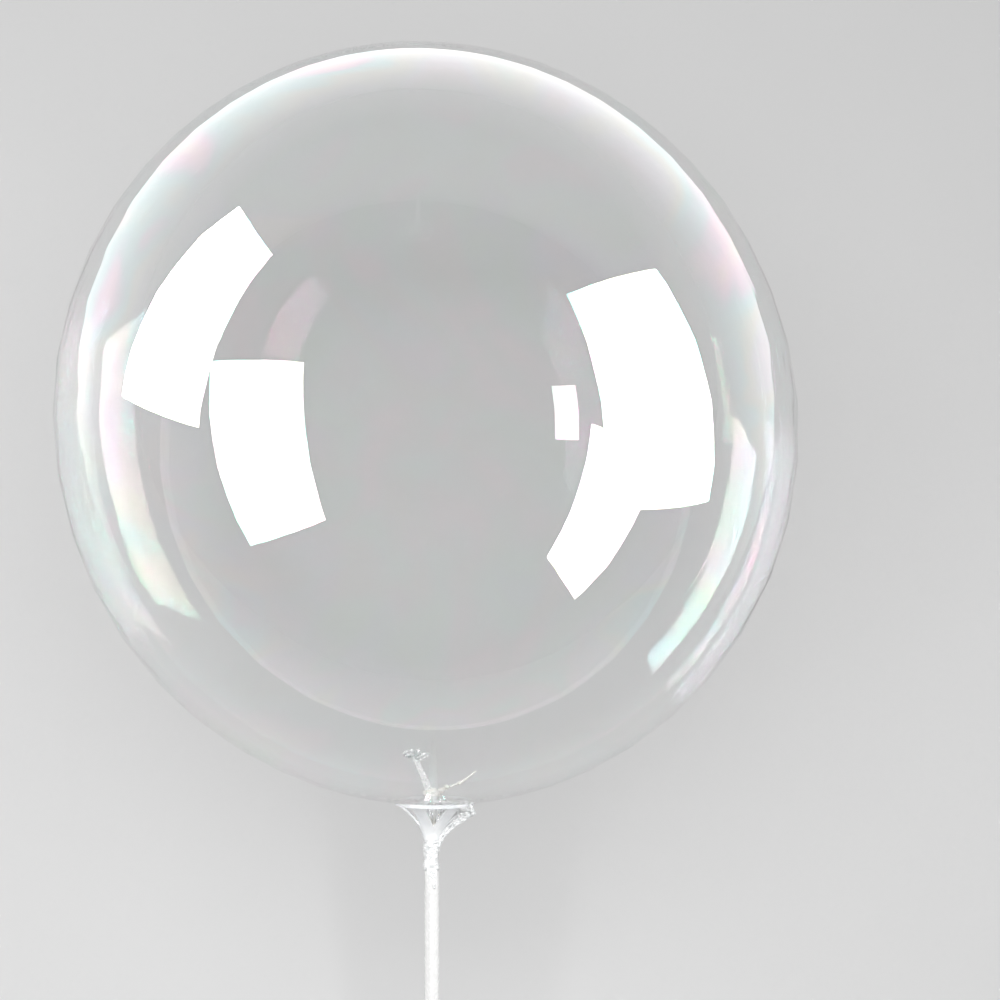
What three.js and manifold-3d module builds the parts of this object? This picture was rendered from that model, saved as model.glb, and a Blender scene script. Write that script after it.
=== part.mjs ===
import * as THREE from "three";
import { mergeVertices } from "three/addons/utils/BufferGeometryUtils.js";
import Module from "manifold-3d";

// A clear bubble balloon on a balloon stick, lying on a floor. Millimetres, +Z up.
// The pieces are shaped upright: the stick's axis is Z, the cup's rim lies at Z = 0, the balloon is
// above it, X is to the right and the side that faces a viewer is -Y. One group then lays them down.

// The gap between pieces that touch, and the gap under the stick's far end
const CLEARANCE = 0.3;
const FLOOR_GAP = 0.1;

// The balloon: a ball a little longer than wide, whose long axis leans to the left
const BALL_SHORT_RADIUS = 200;
const BALL_LONG_RADIUS = 207;
const BALL_LEAN = THREE.MathUtils.degToRad(21.5);
const BALL_SIDE_SHIFT = 2.5;
const FLAT_SPOT_RADIUS = 22;
const BALL_SLICES = 64;
const BALL_STACKS = 32;

// The gathered neck: a dimple in the ball's underside, and twisted film that comes down out of it
const DIMPLE_RADIUS = 13;
const DIMPLE_TOP_RADIUS = 5.6;
const DIMPLE_RISE = 7;
const DIMPLE_SHOULDER_SHARE = 0.35;
const NECK_RADIUS = 4.4;
const NECK_ROOT = 3.5;
const NECK_BULGE_SHARE = 0.4;
const NECK_PLEATS = 8;
const NECK_PLEAT_SHARE = 0.1;
const NECK_TWIST_TURNS = 0.4;

// The cup: a ring, ribs with pointed openings between them, a throat and a stem. The soft funnel leans
// a little to the right under the ball.
const RIM_RADIUS = 21.5;
const RIM_SIDE_SHIFT = 1.8;
const RIM_HEIGHT = 1.4;
const RIM_WIDTH = 1.2;
const CUP_WALL = 1.0;
const FUNNEL_HEIGHT = 21;
const FUNNEL_FLARE = 1.6;
const THROAT_RADIUS = 4.6;
const THROAT_STEP = 1;
const WINDOW_COUNT = 6;
const WINDOW_WIDTH = 12.4;
const WINDOW_HEIGHT = 11.5;
const WINDOW_TURN = THREE.MathUtils.degToRad(2);
const STEM_LENGTH = 15.4;
const SPIGOT_LENGTH = 12;
const STEM_WALL = 1.0;
const CUP_SEGMENTS = 42;

// The stick: a tube that the cup's stem plugs into
const STICK_RADIUS = 4;
const STICK_WALL = 0.7;
const STICK_LENGTH = 400;
const STICK_SEGMENTS = 32;

// The tail of the film: a strand out of the window at the right, crumpled folds, turns and a tip
const STRAND_RADIUS = 1.1;
const STRAND_OVERHANG = 1.2;
const STRAND_DROP = 5;
const STRAND_SIDES = 8;
const STRAND_STEPS = 28;
const FOLD_LONG_RADIUS = 3.9;
const FOLD_SHORT_RADIUS = 2.9;
const FOLD_THICKNESS = 0.75;
const FOLD_TILT = 0.5;
const TAIL_TURNS = 1.6;
const TAIL_GROOVE = 1.0;
const TAIL_SEGMENTS = 24;
const TIP_LENGTH = 9.5;
const TIP_WIDTH = 6.6;
const TIP_SIDE_SHIFT = 1.6;
const TIP_THICKNESS = 0.7;

// Sizes that follow from the ones above
const SPIGOT_RADIUS = STICK_RADIUS - STICK_WALL - CLEARANCE;
const STEM_TOP = -FUNNEL_HEIGHT - THROAT_STEP;
const STICK_TOP = STEM_TOP - STEM_LENGTH;
const STICK_END = STICK_TOP - STICK_LENGTH;
const WINDOW_TOP = -RIM_HEIGHT;
const TAIL_WINDOW_ANGLE = WINDOW_TURN + (2 * Math.PI) / WINDOW_COUNT;
const WOUND_RADIUS = STICK_RADIUS + CLEARANCE + TIP_THICKNESS;
const LONG_AXIS = new THREE.Vector3(-Math.sin(BALL_LEAN), 0, Math.cos(BALL_LEAN));

const wasm = await Module();
wasm.setup();

// Turns a closed three.js geometry into a manifold-3d solid.
function solid(geometry) {
  const bare = geometry.clone();
  bare.deleteAttribute("normal");
  bare.deleteAttribute("uv");
  const merged = mergeVertices(bare, 1e-4);
  return new wasm.Manifold(
    new wasm.Mesh({
      numProp: 3,
      vertProperties: new Float32Array(merged.attributes.position.array),
      triVerts: new Uint32Array(merged.index.array),
    }),
  );
}

// Turns a manifold-3d solid back into a three.js geometry with flat faces.
function geometryOf(manifold) {
  const mesh = manifold.getMesh();
  const geometry = new THREE.BufferGeometry();
  geometry.setAttribute("position", new THREE.BufferAttribute(mesh.vertProperties, 3));
  geometry.setIndex(new THREE.BufferAttribute(mesh.triVerts, 1));
  geometry.computeVertexNormals();
  return geometry;
}

// Revolves a profile of [radius, height] pairs about the Z axis. The profile runs up the outside.
function revolve(profile, segments) {
  const points = profile.map(([radius, height]) => new THREE.Vector2(radius, height));
  return new THREE.LatheGeometry(points, segments).rotateX(Math.PI / 2);
}

// Moves each vertex to the radius that a function of its radius, its angle about Z and its height gives.
function reshape(geometry, radiusAt) {
  const position = geometry.attributes.position;
  for (let i = 0; i < position.count; i += 1) {
    const x = position.getX(i);
    const y = position.getY(i);
    const z = position.getZ(i);
    const radius = Math.hypot(x, y);
    if (radius < 1e-6) continue;
    const share = radiusAt(radius, Math.atan2(y, x), z) / radius;
    position.setXY(i, x * share, y * share);
  }
  return geometry;
}

// Leans a piece with the funnel: nothing moves at the throat, and all of the shift is reached at the rim.
function lean(geometry) {
  const position = geometry.attributes.position;
  for (let i = 0; i < position.count; i += 1) {
    const rise = (position.getZ(i) + FUNNEL_HEIGHT) / FUNNEL_HEIGHT;
    const shift = RIM_SIDE_SHIFT * THREE.MathUtils.clamp(rise, 0, 1);
    position.setX(i, position.getX(i) + shift);
  }
  return geometry;
}

// The funnel's outer radius at a height between the throat and the rim.
function funnelRadius(z) {
  const share = (z + FUNNEL_HEIGHT) / FUNNEL_HEIGHT;
  return THROAT_RADIUS + (RIM_RADIUS - THROAT_RADIUS) * share ** FUNNEL_FLARE;
}

// How far the ball reaches from its centre in a direction.
function ballReach(direction) {
  const along = direction.dot(LONG_AXIS) ** 2;
  const longer = BALL_LONG_RADIUS ** 2 - BALL_SHORT_RADIUS ** 2;
  return Math.sqrt(BALL_SHORT_RADIUS ** 2 + longer * along);
}

// How far below its centre the ball's surface lies, at a point x, y beside the centre.
function ballDepth(x, y) {
  const stretch = 1 / BALL_LONG_RADIUS ** 2 - 1 / BALL_SHORT_RADIUS ** 2;
  const round = 1 / BALL_SHORT_RADIUS ** 2;
  const flat = x * LONG_AXIS.x + y * LONG_AXIS.y;
  const a = round + stretch * LONG_AXIS.z ** 2;
  const b = 2 * stretch * flat * LONG_AXIS.z;
  const c = round * (x * x + y * y) + stretch * flat * flat - 1;
  return (b + Math.sqrt(b * b - 4 * a * c)) / (2 * a);
}

// The height of the ball's centre above the rim: the ball rests on the rim's inner edge all round.
function ballHeight() {
  const seatRadius = RIM_RADIUS - RIM_WIDTH;
  let deepest = 0;
  for (let step = 0; step < BALL_SLICES; step += 1) {
    const angle = (2 * Math.PI * step) / BALL_SLICES;
    const x = BALL_SIDE_SHIFT + RIM_SIDE_SHIFT + seatRadius * Math.cos(angle);
    const y = seatRadius * Math.sin(angle);
    deepest = Math.max(deepest, ballDepth(x, y));
  }
  return deepest + CLEARANCE;
}

const BALL_CENTRE = new THREE.Vector3(-BALL_SIDE_SHIFT, 0, ballHeight());

// How far the floor is from the ball's centre, once the flat spot is pressed in.
function floorDistance(down) {
  return ballReach(down) * Math.sqrt(1 - (FLAT_SPOT_RADIUS / BALL_SHORT_RADIUS) ** 2);
}

// Which way is down, in the upright frame, when the stick rises from the floor at an angle.
function downAt(angle) {
  return new THREE.Vector3(0, Math.cos(angle), -Math.sin(angle));
}

// The angle between the stick and the floor when the ball and the stick's far end both touch it.
function restAngle() {
  const reach = BALL_CENTRE.z - STICK_END;
  let angle = 0;
  for (let step = 0; step < 20; step += 1) {
    const rise = floorDistance(downAt(angle)) - FLOOR_GAP - STICK_RADIUS * Math.cos(angle);
    angle = Math.asin(rise / reach);
  }
  return angle;
}

const REST_ANGLE = restAngle();
const DOWN = downAt(REST_ANGLE);
const FLOOR_DISTANCE = floorDistance(DOWN);

// The middle of the flat spot, in the upright frame.
function flatSpotCentre() {
  const longer = BALL_LONG_RADIUS ** 2 - BALL_SHORT_RADIUS ** 2;
  const contact = DOWN.clone().multiplyScalar(BALL_SHORT_RADIUS ** 2);
  contact.addScaledVector(LONG_AXIS, longer * DOWN.dot(LONG_AXIS));
  contact.multiplyScalar(FLOOR_DISTANCE / ballReach(DOWN) ** 2);
  return contact.add(BALL_CENTRE);
}

// The matrix that lays the upright frame down, with the middle of the flat spot at the origin.
function layingDown() {
  const turn = new THREE.Matrix4().makeRotationX(REST_ANGLE - Math.PI / 2);
  const spot = flatSpotCentre();
  return turn.multiply(new THREE.Matrix4().makeTranslation(-spot.x, -spot.y, -spot.z));
}

const LAYING_DOWN = layingDown();

// The inflated ball, with the flat spot where it lies on the floor.
function ballSolid() {
  const ball = new THREE.SphereGeometry(1, BALL_SLICES, BALL_STACKS);
  ball.scale(BALL_SHORT_RADIUS, BALL_LONG_RADIUS, BALL_SHORT_RADIUS);
  ball.rotateX(Math.PI / 2).rotateY(-BALL_LEAN);
  ball.translate(BALL_CENTRE.x, BALL_CENTRE.y, BALL_CENTRE.z);
  const slab = new THREE.BoxGeometry(4 * BALL_LONG_RADIUS, 4 * BALL_LONG_RADIUS, BALL_SHORT_RADIUS);
  slab.translate(0, 0, -BALL_SHORT_RADIUS / 2);
  slab.applyMatrix4(LAYING_DOWN.clone().invert());
  return solid(ball).subtract(solid(slab));
}

// The hollow in the ball's underside that the gathered film is drawn up into.
function dimpleSolid() {
  const below = -2 * DIMPLE_RISE;
  const shoulder = (DIMPLE_RADIUS + DIMPLE_TOP_RADIUS) / 2;
  const profile = [
    [0, below],
    [DIMPLE_RADIUS, below],
    [DIMPLE_RADIUS, 0],
    [shoulder, DIMPLE_RISE * DIMPLE_SHOULDER_SHARE],
    [DIMPLE_TOP_RADIUS, DIMPLE_RISE],
    [0, DIMPLE_RISE],
  ];
  return solid(lean(revolve(profile, NECK_PLEATS * 4)));
}

// The twisted, pleated film from the ball down into the throat of the cup, which it fills.
function neckSolid() {
  const bottom = -FUNNEL_HEIGHT;
  const bulge = -FUNNEL_HEIGHT / 4;
  const inside = (z) => funnelRadius(z) - CUP_WALL - CLEARANCE;
  const profile = [[0, bottom]];
  const steps = 6;
  for (let step = 0; step <= steps; step += 1) {
    const z = bottom + ((bulge - bottom) * step) / steps;
    const fill = 1 - (1 - NECK_BULGE_SHARE) * (step / steps);
    profile.push([inside(z) * fill, z]);
  }
  const top = DIMPLE_RISE + NECK_ROOT;
  profile.push([NECK_RADIUS, 0], [NECK_RADIUS, top], [0, top]);
  const neck = reshape(revolve(profile, NECK_PLEATS * 4), (radius, angle, z) => {
    const twist = 2 * Math.PI * NECK_TWIST_TURNS * ((z - bottom) / (top - bottom));
    const pleat = (1 - Math.cos(NECK_PLEATS * (angle + twist))) / 2;
    return radius * (1 - NECK_PLEAT_SHARE * pleat);
  });
  return solid(lean(neck));
}

// The strand of film that leaves the neck by a window, turns back and runs down outside the funnel.
function strandSolid() {
  const beside = (z) => funnelRadius(z) + 2 * CLEARANCE + STRAND_RADIUS;
  const bend = 3 * STRAND_RADIUS;
  const outer = RIM_RADIUS + STRAND_OVERHANG;
  const windowMiddle = -STRAND_DROP;
  const turnedBack = windowMiddle - bend;
  const route = [
    [NECK_RADIUS, windowMiddle - STRAND_RADIUS],
    [(NECK_RADIUS + RIM_RADIUS) / 2, windowMiddle],
    [outer - STRAND_RADIUS, windowMiddle],
    [outer - bend, turnedBack],
  ];
  const downSteps = 3;
  for (let step = 1; step <= downSteps; step += 1) {
    const share = step / downSteps;
    const z = turnedBack - (FUNNEL_HEIGHT + turnedBack) * share;
    const spare = (1 - share) * (outer - bend - beside(turnedBack));
    route.push([beside(z) + spare, z]);
  }
  route.push([WOUND_RADIUS - STRAND_RADIUS / 3, STEM_TOP - 2 * STRAND_RADIUS]);
  const path = new THREE.CatmullRomCurve3(
    route.map(([x, z]) => new THREE.Vector3(x, 0, z)),
    false,
    "centripetal",
  );
  const section = new THREE.Shape();
  for (let side = 0; side < STRAND_SIDES; side += 1) {
    const angle = (2 * Math.PI * side) / STRAND_SIDES;
    const x = STRAND_RADIUS * Math.cos(angle);
    const y = STRAND_RADIUS * Math.sin(angle);
    if (side === 0) section.moveTo(x, y);
    else section.lineTo(x, y);
  }
  section.closePath();
  const options = { steps: STRAND_STEPS, extrudePath: path, bevelEnabled: false };
  const strand = new THREE.ExtrudeGeometry(section, options);
  return solid(lean(strand.rotateZ(TAIL_WINDOW_ANGLE - Math.PI / 2)));
}

// Two pointed leaves of crumpled film across the strand, in the mouth of its window.
function foldSolids() {
  const middle = RIM_RADIUS + STRAND_OVERHANG - STRAND_RADIUS - FOLD_LONG_RADIUS - FOLD_THICKNESS;
  return [-1, 1].map((side) => {
    const fold = new THREE.OctahedronGeometry(1);
    fold.scale(FOLD_LONG_RADIUS, FOLD_SHORT_RADIUS, FOLD_THICKNESS);
    fold.rotateX(Math.PI / 2 + side * FOLD_TILT);
    fold.translate(middle, side * FOLD_THICKNESS, -STRAND_DROP);
    return solid(lean(fold.rotateZ(TAIL_WINDOW_ANGLE - Math.PI / 2)));
  });
}

// The tail's turns round the cup's stem, between the throat and the stick, as one ridged sleeve.
function turnsSolid() {
  const inner = SPIGOT_RADIUS + CLEARANCE;
  const top = STEM_TOP - CLEARANCE;
  const bottom = STICK_TOP + CLEARANCE;
  const steps = 14;
  const profile = [[inner, bottom]];
  for (let step = 0; step <= steps; step += 1) {
    profile.push([WOUND_RADIUS, bottom + ((top - bottom) * step) / steps]);
  }
  profile.push([inner, top], [inner, bottom]);
  const sleeve = reshape(revolve(profile, TAIL_SEGMENTS), (radius, angle, z) => {
    if (radius < (inner + WOUND_RADIUS) / 2) return radius;
    const fromBottom = (z - bottom) / (top - bottom);
    const groove = (1 - Math.cos(angle - 2 * Math.PI * TAIL_TURNS * fromBottom)) / 2;
    return radius - TAIL_GROOVE * groove * Math.min(1, 4 * fromBottom);
  });
  return solid(sleeve);
}

// The pointed end of the tail, lying on the front of the stick.
function tipSolid() {
  const top = STICK_TOP + 2 * CLEARANCE + TIP_THICKNESS;
  const outline = new THREE.Shape();
  outline.moveTo(TIP_SIDE_SHIFT, STICK_TOP - TIP_LENGTH);
  outline.lineTo(TIP_WIDTH / 2, top);
  outline.lineTo(-TIP_WIDTH / 2, top);
  outline.closePath();
  const prism = new THREE.ExtrudeGeometry(outline, { depth: 3 * STICK_RADIUS, bevelEnabled: false });
  prism.rotateX(Math.PI / 2);
  const inner = STICK_RADIUS + CLEARANCE;
  const bottom = STICK_TOP - 2 * TIP_LENGTH;
  const band = revolve(
    [
      [inner, bottom],
      [WOUND_RADIUS, bottom],
      [WOUND_RADIUS, top],
      [inner, top],
      [inner, bottom],
    ],
    TAIL_SEGMENTS,
  );
  return solid(prism).intersect(solid(band));
}

function bubbleBalloon() {
  let balloon = ballSolid().subtract(dimpleSolid()).add(neckSolid());
  for (const piece of [strandSolid(), ...foldSolids(), turnsSolid(), tipSolid()]) {
    balloon = balloon.add(piece);
  }
  const material = new THREE.MeshStandardMaterial({
    color: 0xe8eef0,
    roughness: 0.04,
    metalness: 0,
    transparent: true,
    opacity: 0.25,
  });
  return new THREE.Mesh(geometryOf(balloon), material);
}

// The cup turned as one piece, before its windows are cut.
function cupBlank() {
  const outside = [[SPIGOT_RADIUS, STEM_TOP - STEM_LENGTH - SPIGOT_LENGTH], [SPIGOT_RADIUS, STEM_TOP]];
  const inside = [];
  const steps = 10;
  for (let step = 0; step <= steps; step += 1) {
    const z = -FUNNEL_HEIGHT + ((FUNNEL_HEIGHT - RIM_HEIGHT) * step) / steps;
    outside.push([funnelRadius(z), z]);
    inside.unshift([funnelRadius(z) - CUP_WALL, z]);
  }
  outside.push([RIM_RADIUS, -RIM_HEIGHT], [RIM_RADIUS, 0], [RIM_RADIUS - RIM_WIDTH, 0]);
  const bore = SPIGOT_RADIUS - STEM_WALL;
  inside.push([bore, STEM_TOP], [bore, STEM_TOP - STEM_LENGTH - SPIGOT_LENGTH]);
  return solid(lean(revolve([...outside, ...inside, outside[0]], CUP_SEGMENTS)));
}

// A three-sided opening, pointed at the bottom, cut outwards from the axis at an angle from the front.
function windowSolid(angle) {
  const outline = new THREE.Shape();
  outline.moveTo(0, WINDOW_TOP - WINDOW_HEIGHT);
  outline.lineTo(WINDOW_WIDTH / 2, WINDOW_TOP);
  outline.lineTo(-WINDOW_WIDTH / 2, WINDOW_TOP);
  outline.closePath();
  const prism = new THREE.ExtrudeGeometry(outline, { depth: 2 * RIM_RADIUS, bevelEnabled: false });
  return solid(lean(prism.rotateX(Math.PI / 2).rotateZ(angle)));
}

function balloonCup() {
  let cup = cupBlank();
  for (let index = 0; index < WINDOW_COUNT; index += 1) {
    cup = cup.subtract(windowSolid(WINDOW_TURN + (2 * Math.PI * index) / WINDOW_COUNT));
  }
  const material = new THREE.MeshStandardMaterial({
    color: 0xf1f2ee,
    roughness: 0.18,
    metalness: 0,
    transparent: true,
    opacity: 0.7,
  });
  return new THREE.Mesh(geometryOf(cup), material);
}

function stick() {
  const bore = STICK_RADIUS - STICK_WALL;
  const tube = revolve(
    [
      [bore, STICK_END],
      [STICK_RADIUS, STICK_END],
      [STICK_RADIUS, STICK_TOP],
      [bore, STICK_TOP],
      [bore, STICK_END],
    ],
    STICK_SEGMENTS,
  );
  const material = new THREE.MeshStandardMaterial({ color: 0xf6f6f4, roughness: 0.3, metalness: 0 });
  return new THREE.Mesh(geometryOf(solid(tube)), material);
}

const pieces = { bubble_balloon: bubbleBalloon(), balloon_cup: balloonCup(), stick: stick() };
const laid = new THREE.Group();
for (const [name, piece] of Object.entries(pieces)) {
  piece.name = name;
  laid.add(piece);
}
laid.applyMatrix4(LAYING_DOWN);

const root = new THREE.Group();
root.add(laid);
export default root;
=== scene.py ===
"""A clear bubble balloon on a balloon stick, lying on a pale floor.

The pieces are shaped upright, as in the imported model's own source: the stick's axis is Z, the cup's rim
lies at Z = 0, the balloon is above it, X is to the right and the side that faces a viewer is -Y. The
Layout class then lays every point down on the floor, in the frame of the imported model.
"""
import logging
import math
from dataclasses import dataclass, field
from enum import Enum
from typing import Callable

import bmesh
import bpy
from mathutils import Matrix, Vector, noise


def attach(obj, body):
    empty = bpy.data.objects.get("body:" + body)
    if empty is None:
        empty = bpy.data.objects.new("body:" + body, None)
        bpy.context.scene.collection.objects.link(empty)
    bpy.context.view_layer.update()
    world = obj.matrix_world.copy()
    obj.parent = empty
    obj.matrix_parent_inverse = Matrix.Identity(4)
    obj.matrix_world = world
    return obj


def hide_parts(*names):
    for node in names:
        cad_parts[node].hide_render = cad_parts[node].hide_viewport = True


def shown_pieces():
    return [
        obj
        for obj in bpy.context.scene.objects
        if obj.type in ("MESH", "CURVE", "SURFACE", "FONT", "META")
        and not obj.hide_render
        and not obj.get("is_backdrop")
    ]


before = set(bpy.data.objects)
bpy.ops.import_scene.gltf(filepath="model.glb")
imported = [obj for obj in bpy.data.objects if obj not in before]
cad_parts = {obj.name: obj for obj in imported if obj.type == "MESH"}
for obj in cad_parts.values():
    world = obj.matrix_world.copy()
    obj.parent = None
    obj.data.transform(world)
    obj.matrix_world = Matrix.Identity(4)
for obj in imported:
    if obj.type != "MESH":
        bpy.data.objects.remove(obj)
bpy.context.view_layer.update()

LOG = logging.getLogger("bubble_balloon")
MM = 0.001
FOLD_SHARPNESS = 6.0
CREST_POWER = 4.0
CLOUD_RANGE = (0.35, 0.65)
WELD_DISTANCE = 0.001 * MM
REPEAT_WELD_DISTANCE = 0.01 * MM
Face = tuple[int, ...]
Point = tuple[float, float, float]
Color = tuple[float, float, float, float]


class Slot(Enum):
    """The record's material slots."""

    FILM = "clear_film"
    CUP = "cup_plastic"
    STICK = "stick_plastic"


@dataclass(frozen=True)
class Layout:
    """How the upright object lies on the floor, and the few places that its pieces share, in mm."""

    rest_sine: float = 0.3040665
    rest_cosine: float = 0.9526508
    origin: Point = (1.0361, -192.0953, 136.9093)
    ball_centre: Point = (-2.5, 0.0, 205.35)

    def place(self, point: Point | Vector) -> Vector:
        """Turns an upright point in mm into a world point in metres.

        Args:
            point: The upright point.

        Returns:
            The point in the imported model's frame.
        """
        x, y, z = point
        across = self.origin[1] + y * self.rest_sine + z * self.rest_cosine
        height = self.origin[2] - y * self.rest_cosine + z * self.rest_sine
        return Vector((self.origin[0] + x, across, height)) * MM

    def direction(self, point: Point | Vector) -> Vector:
        """Turns an upright direction into a world direction of length 1."""
        return (self.place(point) - self.place((0, 0, 0))).normalized()

    def matrix(self) -> Matrix:
        """Returns the matrix that lays down a mesh whose points are upright, in metres."""
        turn = Matrix(
            (
                (1, 0, 0, self.origin[0] * MM),
                (0, self.rest_sine, self.rest_cosine, self.origin[1] * MM),
                (0, -self.rest_cosine, self.rest_sine, self.origin[2] * MM),
                (0, 0, 0, 1),
            )
        )
        return turn

    def beside_ball(self, point: Point) -> Vector:
        """Places a point that is given in mm from the ball's centre, in upright directions."""
        return self.place(Vector(point) + Vector(self.ball_centre))


LAYOUT = Layout()


class NodeGraph:
    """A thin hand on a shader or geometry tree, so that nodes are made and wired in one line."""

    def __init__(self, tree: bpy.types.NodeTree) -> None:
        """Takes the tree that the nodes are put in."""
        self.tree = tree

    def add(self, kind: str, settings: dict | None = None, **inputs: object) -> bpy.types.Node:
        """Adds a node.

        Args:
            kind: The node's type name.
            settings: Properties of the node itself, such as its operation.
            **inputs: Values or output sockets for the node's inputs, by name with _ for a space, or
                by number as in i0.

        Returns:
            The new node.
        """
        node = self.tree.nodes.new(kind)
        for name, value in (settings or {}).items():
            setattr(node, name, value)
        for name, value in inputs.items():
            self.feed(self.socket(node, name), value)
        return node

    def socket(self, node: bpy.types.Node, name: str) -> bpy.types.NodeSocket:
        """Finds an input socket by its name or number."""
        if name[0] == "i" and name[1:].isdigit():
            return node.inputs[int(name[1:])]
        return node.inputs[name.replace("_", " ")]

    def feed(self, socket: bpy.types.NodeSocket, value: object) -> None:
        """Sets an input socket to a value, or links it to an output socket."""
        if isinstance(value, bpy.types.NodeSocket):
            self.tree.links.new(value, socket)
        else:
            socket.default_value = value

    def math(self, operation: str, first: object, second: object = 0.0) -> bpy.types.NodeSocket:
        """Adds a Math node of two inputs and returns its output."""
        node = self.add("ShaderNodeMath", {"operation": operation}, i0=first, i1=second)
        return node.outputs[0]

    def ramp(
        self,
        value: bpy.types.NodeSocket,
        source: tuple[float, float] = (0.0, 1.0),
        target: tuple[object, object] = (0.0, 1.0),
        kind: str = "LINEAR",
    ) -> bpy.types.NodeSocket:
        """Brings a value from one range to another.

        Args:
            value: The output socket that gives the value.
            source: The range that it comes in.
            target: The range that it leaves in, as numbers or output sockets.
            kind: The node's way from end to end, LINEAR or SMOOTHSTEP.

        Returns:
            The output socket.
        """
        node = self.add("ShaderNodeMapRange", {"interpolation_type": kind}, Value=value)
        for name, bound in zip(("From Min", "From Max", "To Min", "To Max"), (*source, *target)):
            self.feed(node.inputs[name], bound)
        return node.outputs[0]

    def blend(self, share: bpy.types.NodeSocket, first: object, second: object) -> bpy.types.NodeSocket:
        """Mixes two colours, from the first at share 0 to the second at share 1."""
        node = self.add("ShaderNodeMix", {"data_type": "RGBA"}, Factor=share)
        self.feed(node.inputs[6], first)
        self.feed(node.inputs[7], second)
        return node.outputs[2]

    def clouds(
        self,
        place: bpy.types.NodeSocket,
        scale: object,
        detail: float,
        distortion: float = 0.0,
    ) -> bpy.types.NodeSocket:
        """Adds a Noise Texture and returns its value."""
        inputs = {"Vector": place, "Scale": scale, "Detail": detail, "Distortion": distortion}
        return self.add("ShaderNodeTexNoise", **inputs).outputs[0]

    def vector_math(self, operation: str, *inputs: object) -> bpy.types.Node:
        """Adds a Vector Math node of one or two inputs."""
        numbered = {f"i{number}": value for number, value in enumerate(inputs)}
        return self.add("ShaderNodeVectorMath", {"operation": operation}, **numbered)

    def ports(self, way: str, kind: str, *names: str) -> None:
        """Adds named sockets of one kind to the group, with way INPUT or OUTPUT."""
        for name in names:
            self.tree.interface.new_socket(name, in_out=way, socket_type="NodeSocket" + kind)

    def end(self, name: str, value: bpy.types.NodeSocket) -> None:
        """Links a socket to one of the group's outputs."""
        sink = self.tree.nodes.get("Group Output") or self.tree.nodes.new("NodeGroupOutput")
        self.tree.links.new(value, sink.inputs[name])


def stand(name: str, data: bpy.types.ID) -> bpy.types.Object:
    """Makes an object of a mesh, a lamp or a camera and puts it in the scene."""
    thing = bpy.data.objects.new(name, data)
    bpy.context.scene.collection.objects.link(thing)
    return thing


class GeometryTree(NodeGraph):
    """A Geometry Nodes tree with named inputs, which ends in Realize Instances and Set Material."""

    def __init__(self, name: str) -> None:
        """Makes an empty tree that takes and gives one geometry."""
        super().__init__(bpy.data.node_groups.new(name, "GeometryNodeTree"))
        self.ports("INPUT", "Geometry", "Geometry")
        self.ports("OUTPUT", "Geometry", "Geometry")
        self.source = self.tree.nodes.new("NodeGroupInput")
        self.sink = self.tree.nodes.new("NodeGroupOutput")
        self.keys: dict[str, str] = {}

    def input(self, name: str, kind: str = "NodeSocketFloat") -> bpy.types.NodeSocket:
        """Adds a named input to the tree and returns the socket that gives its value."""
        item = self.tree.interface.new_socket(name, in_out="INPUT", socket_type=kind)
        self.keys[name] = item.identifier
        return self.source.outputs[name]

    def finish(self, geometry: bpy.types.NodeSocket) -> None:
        """Ends the tree with smooth, realized geometry in the material that it is given."""
        material = self.input("Material", "NodeSocketMaterial")
        real = self.add("GeometryNodeRealizeInstances", i0=geometry)
        smooth = self.add("GeometryNodeSetShadeSmooth", Geometry=real.outputs[0])
        dressed = self.add("GeometryNodeSetMaterial", Geometry=smooth.outputs[0], Material=material)
        self.tree.links.new(dressed.outputs[0], self.sink.inputs[0])

    def grow(self, name: str, seedling: bpy.types.Mesh, values: dict[str, object]) -> bpy.types.Mesh:
        """Runs the tree on a mesh.

        Args:
            name: The name of the mesh that comes out.
            seedling: The mesh that goes in.
            values: A value for each named input.

        Returns:
            A plain mesh, with no modifier and no instances left.
        """
        host = stand(name + "_host", seedling)
        modifier = host.modifiers.new("Shape", "NODES")
        modifier.node_group = self.tree
        for key, value in values.items():
            modifier[self.keys[key]] = value
        graph = bpy.context.evaluated_depsgraph_get()
        mesh = bpy.data.meshes.new_from_object(host.evaluated_get(graph))
        host.modifiers.remove(modifier)
        bpy.data.objects.remove(host)
        mesh.name = name
        return mesh


def radial_tree() -> GeometryTree:
    """Builds the tree that repeats a part round the Z axis and leans it with the funnel."""
    tree = GeometryTree("repeat_round_axis")
    count = tree.input("Count", "NodeSocketInt")
    shift = tree.input("Lean")
    height = tree.input("Height")
    line = tree.add("GeometryNodeMeshLine", Count=count, Offset=(0.0, 0.0, 0.0))
    index = tree.add("GeometryNodeInputIndex").outputs[0]
    step = tree.math("DIVIDE", 2 * math.pi, count)
    turn = tree.add("ShaderNodeCombineXYZ", Z=tree.math("MULTIPLY", index, step))
    copies = tree.add(
        "GeometryNodeInstanceOnPoints",
        Points=line.outputs[0],
        Instance=tree.source.outputs["Geometry"],
        Rotation=turn.outputs[0],
    )
    real = tree.add("GeometryNodeRealizeInstances", i0=copies.outputs[0])
    whole = tree.add("GeometryNodeMergeByDistance", Geometry=real.outputs[0], Distance=REPEAT_WELD_DISTANCE)
    place = tree.add("GeometryNodeInputPosition").outputs[0]
    split = tree.add("ShaderNodeSeparateXYZ", Vector=place)
    share = tree.math("ADD", tree.math("DIVIDE", split.outputs["Z"], height), 1.0)
    share.node.use_clamp = True
    offset = tree.add("ShaderNodeCombineXYZ", X=tree.math("MULTIPLY", share, shift))
    leaning = tree.add("GeometryNodeSetPosition", Geometry=whole.outputs[0], Offset=offset.outputs[0])
    tree.finish(leaning.outputs[0])
    return tree


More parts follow.
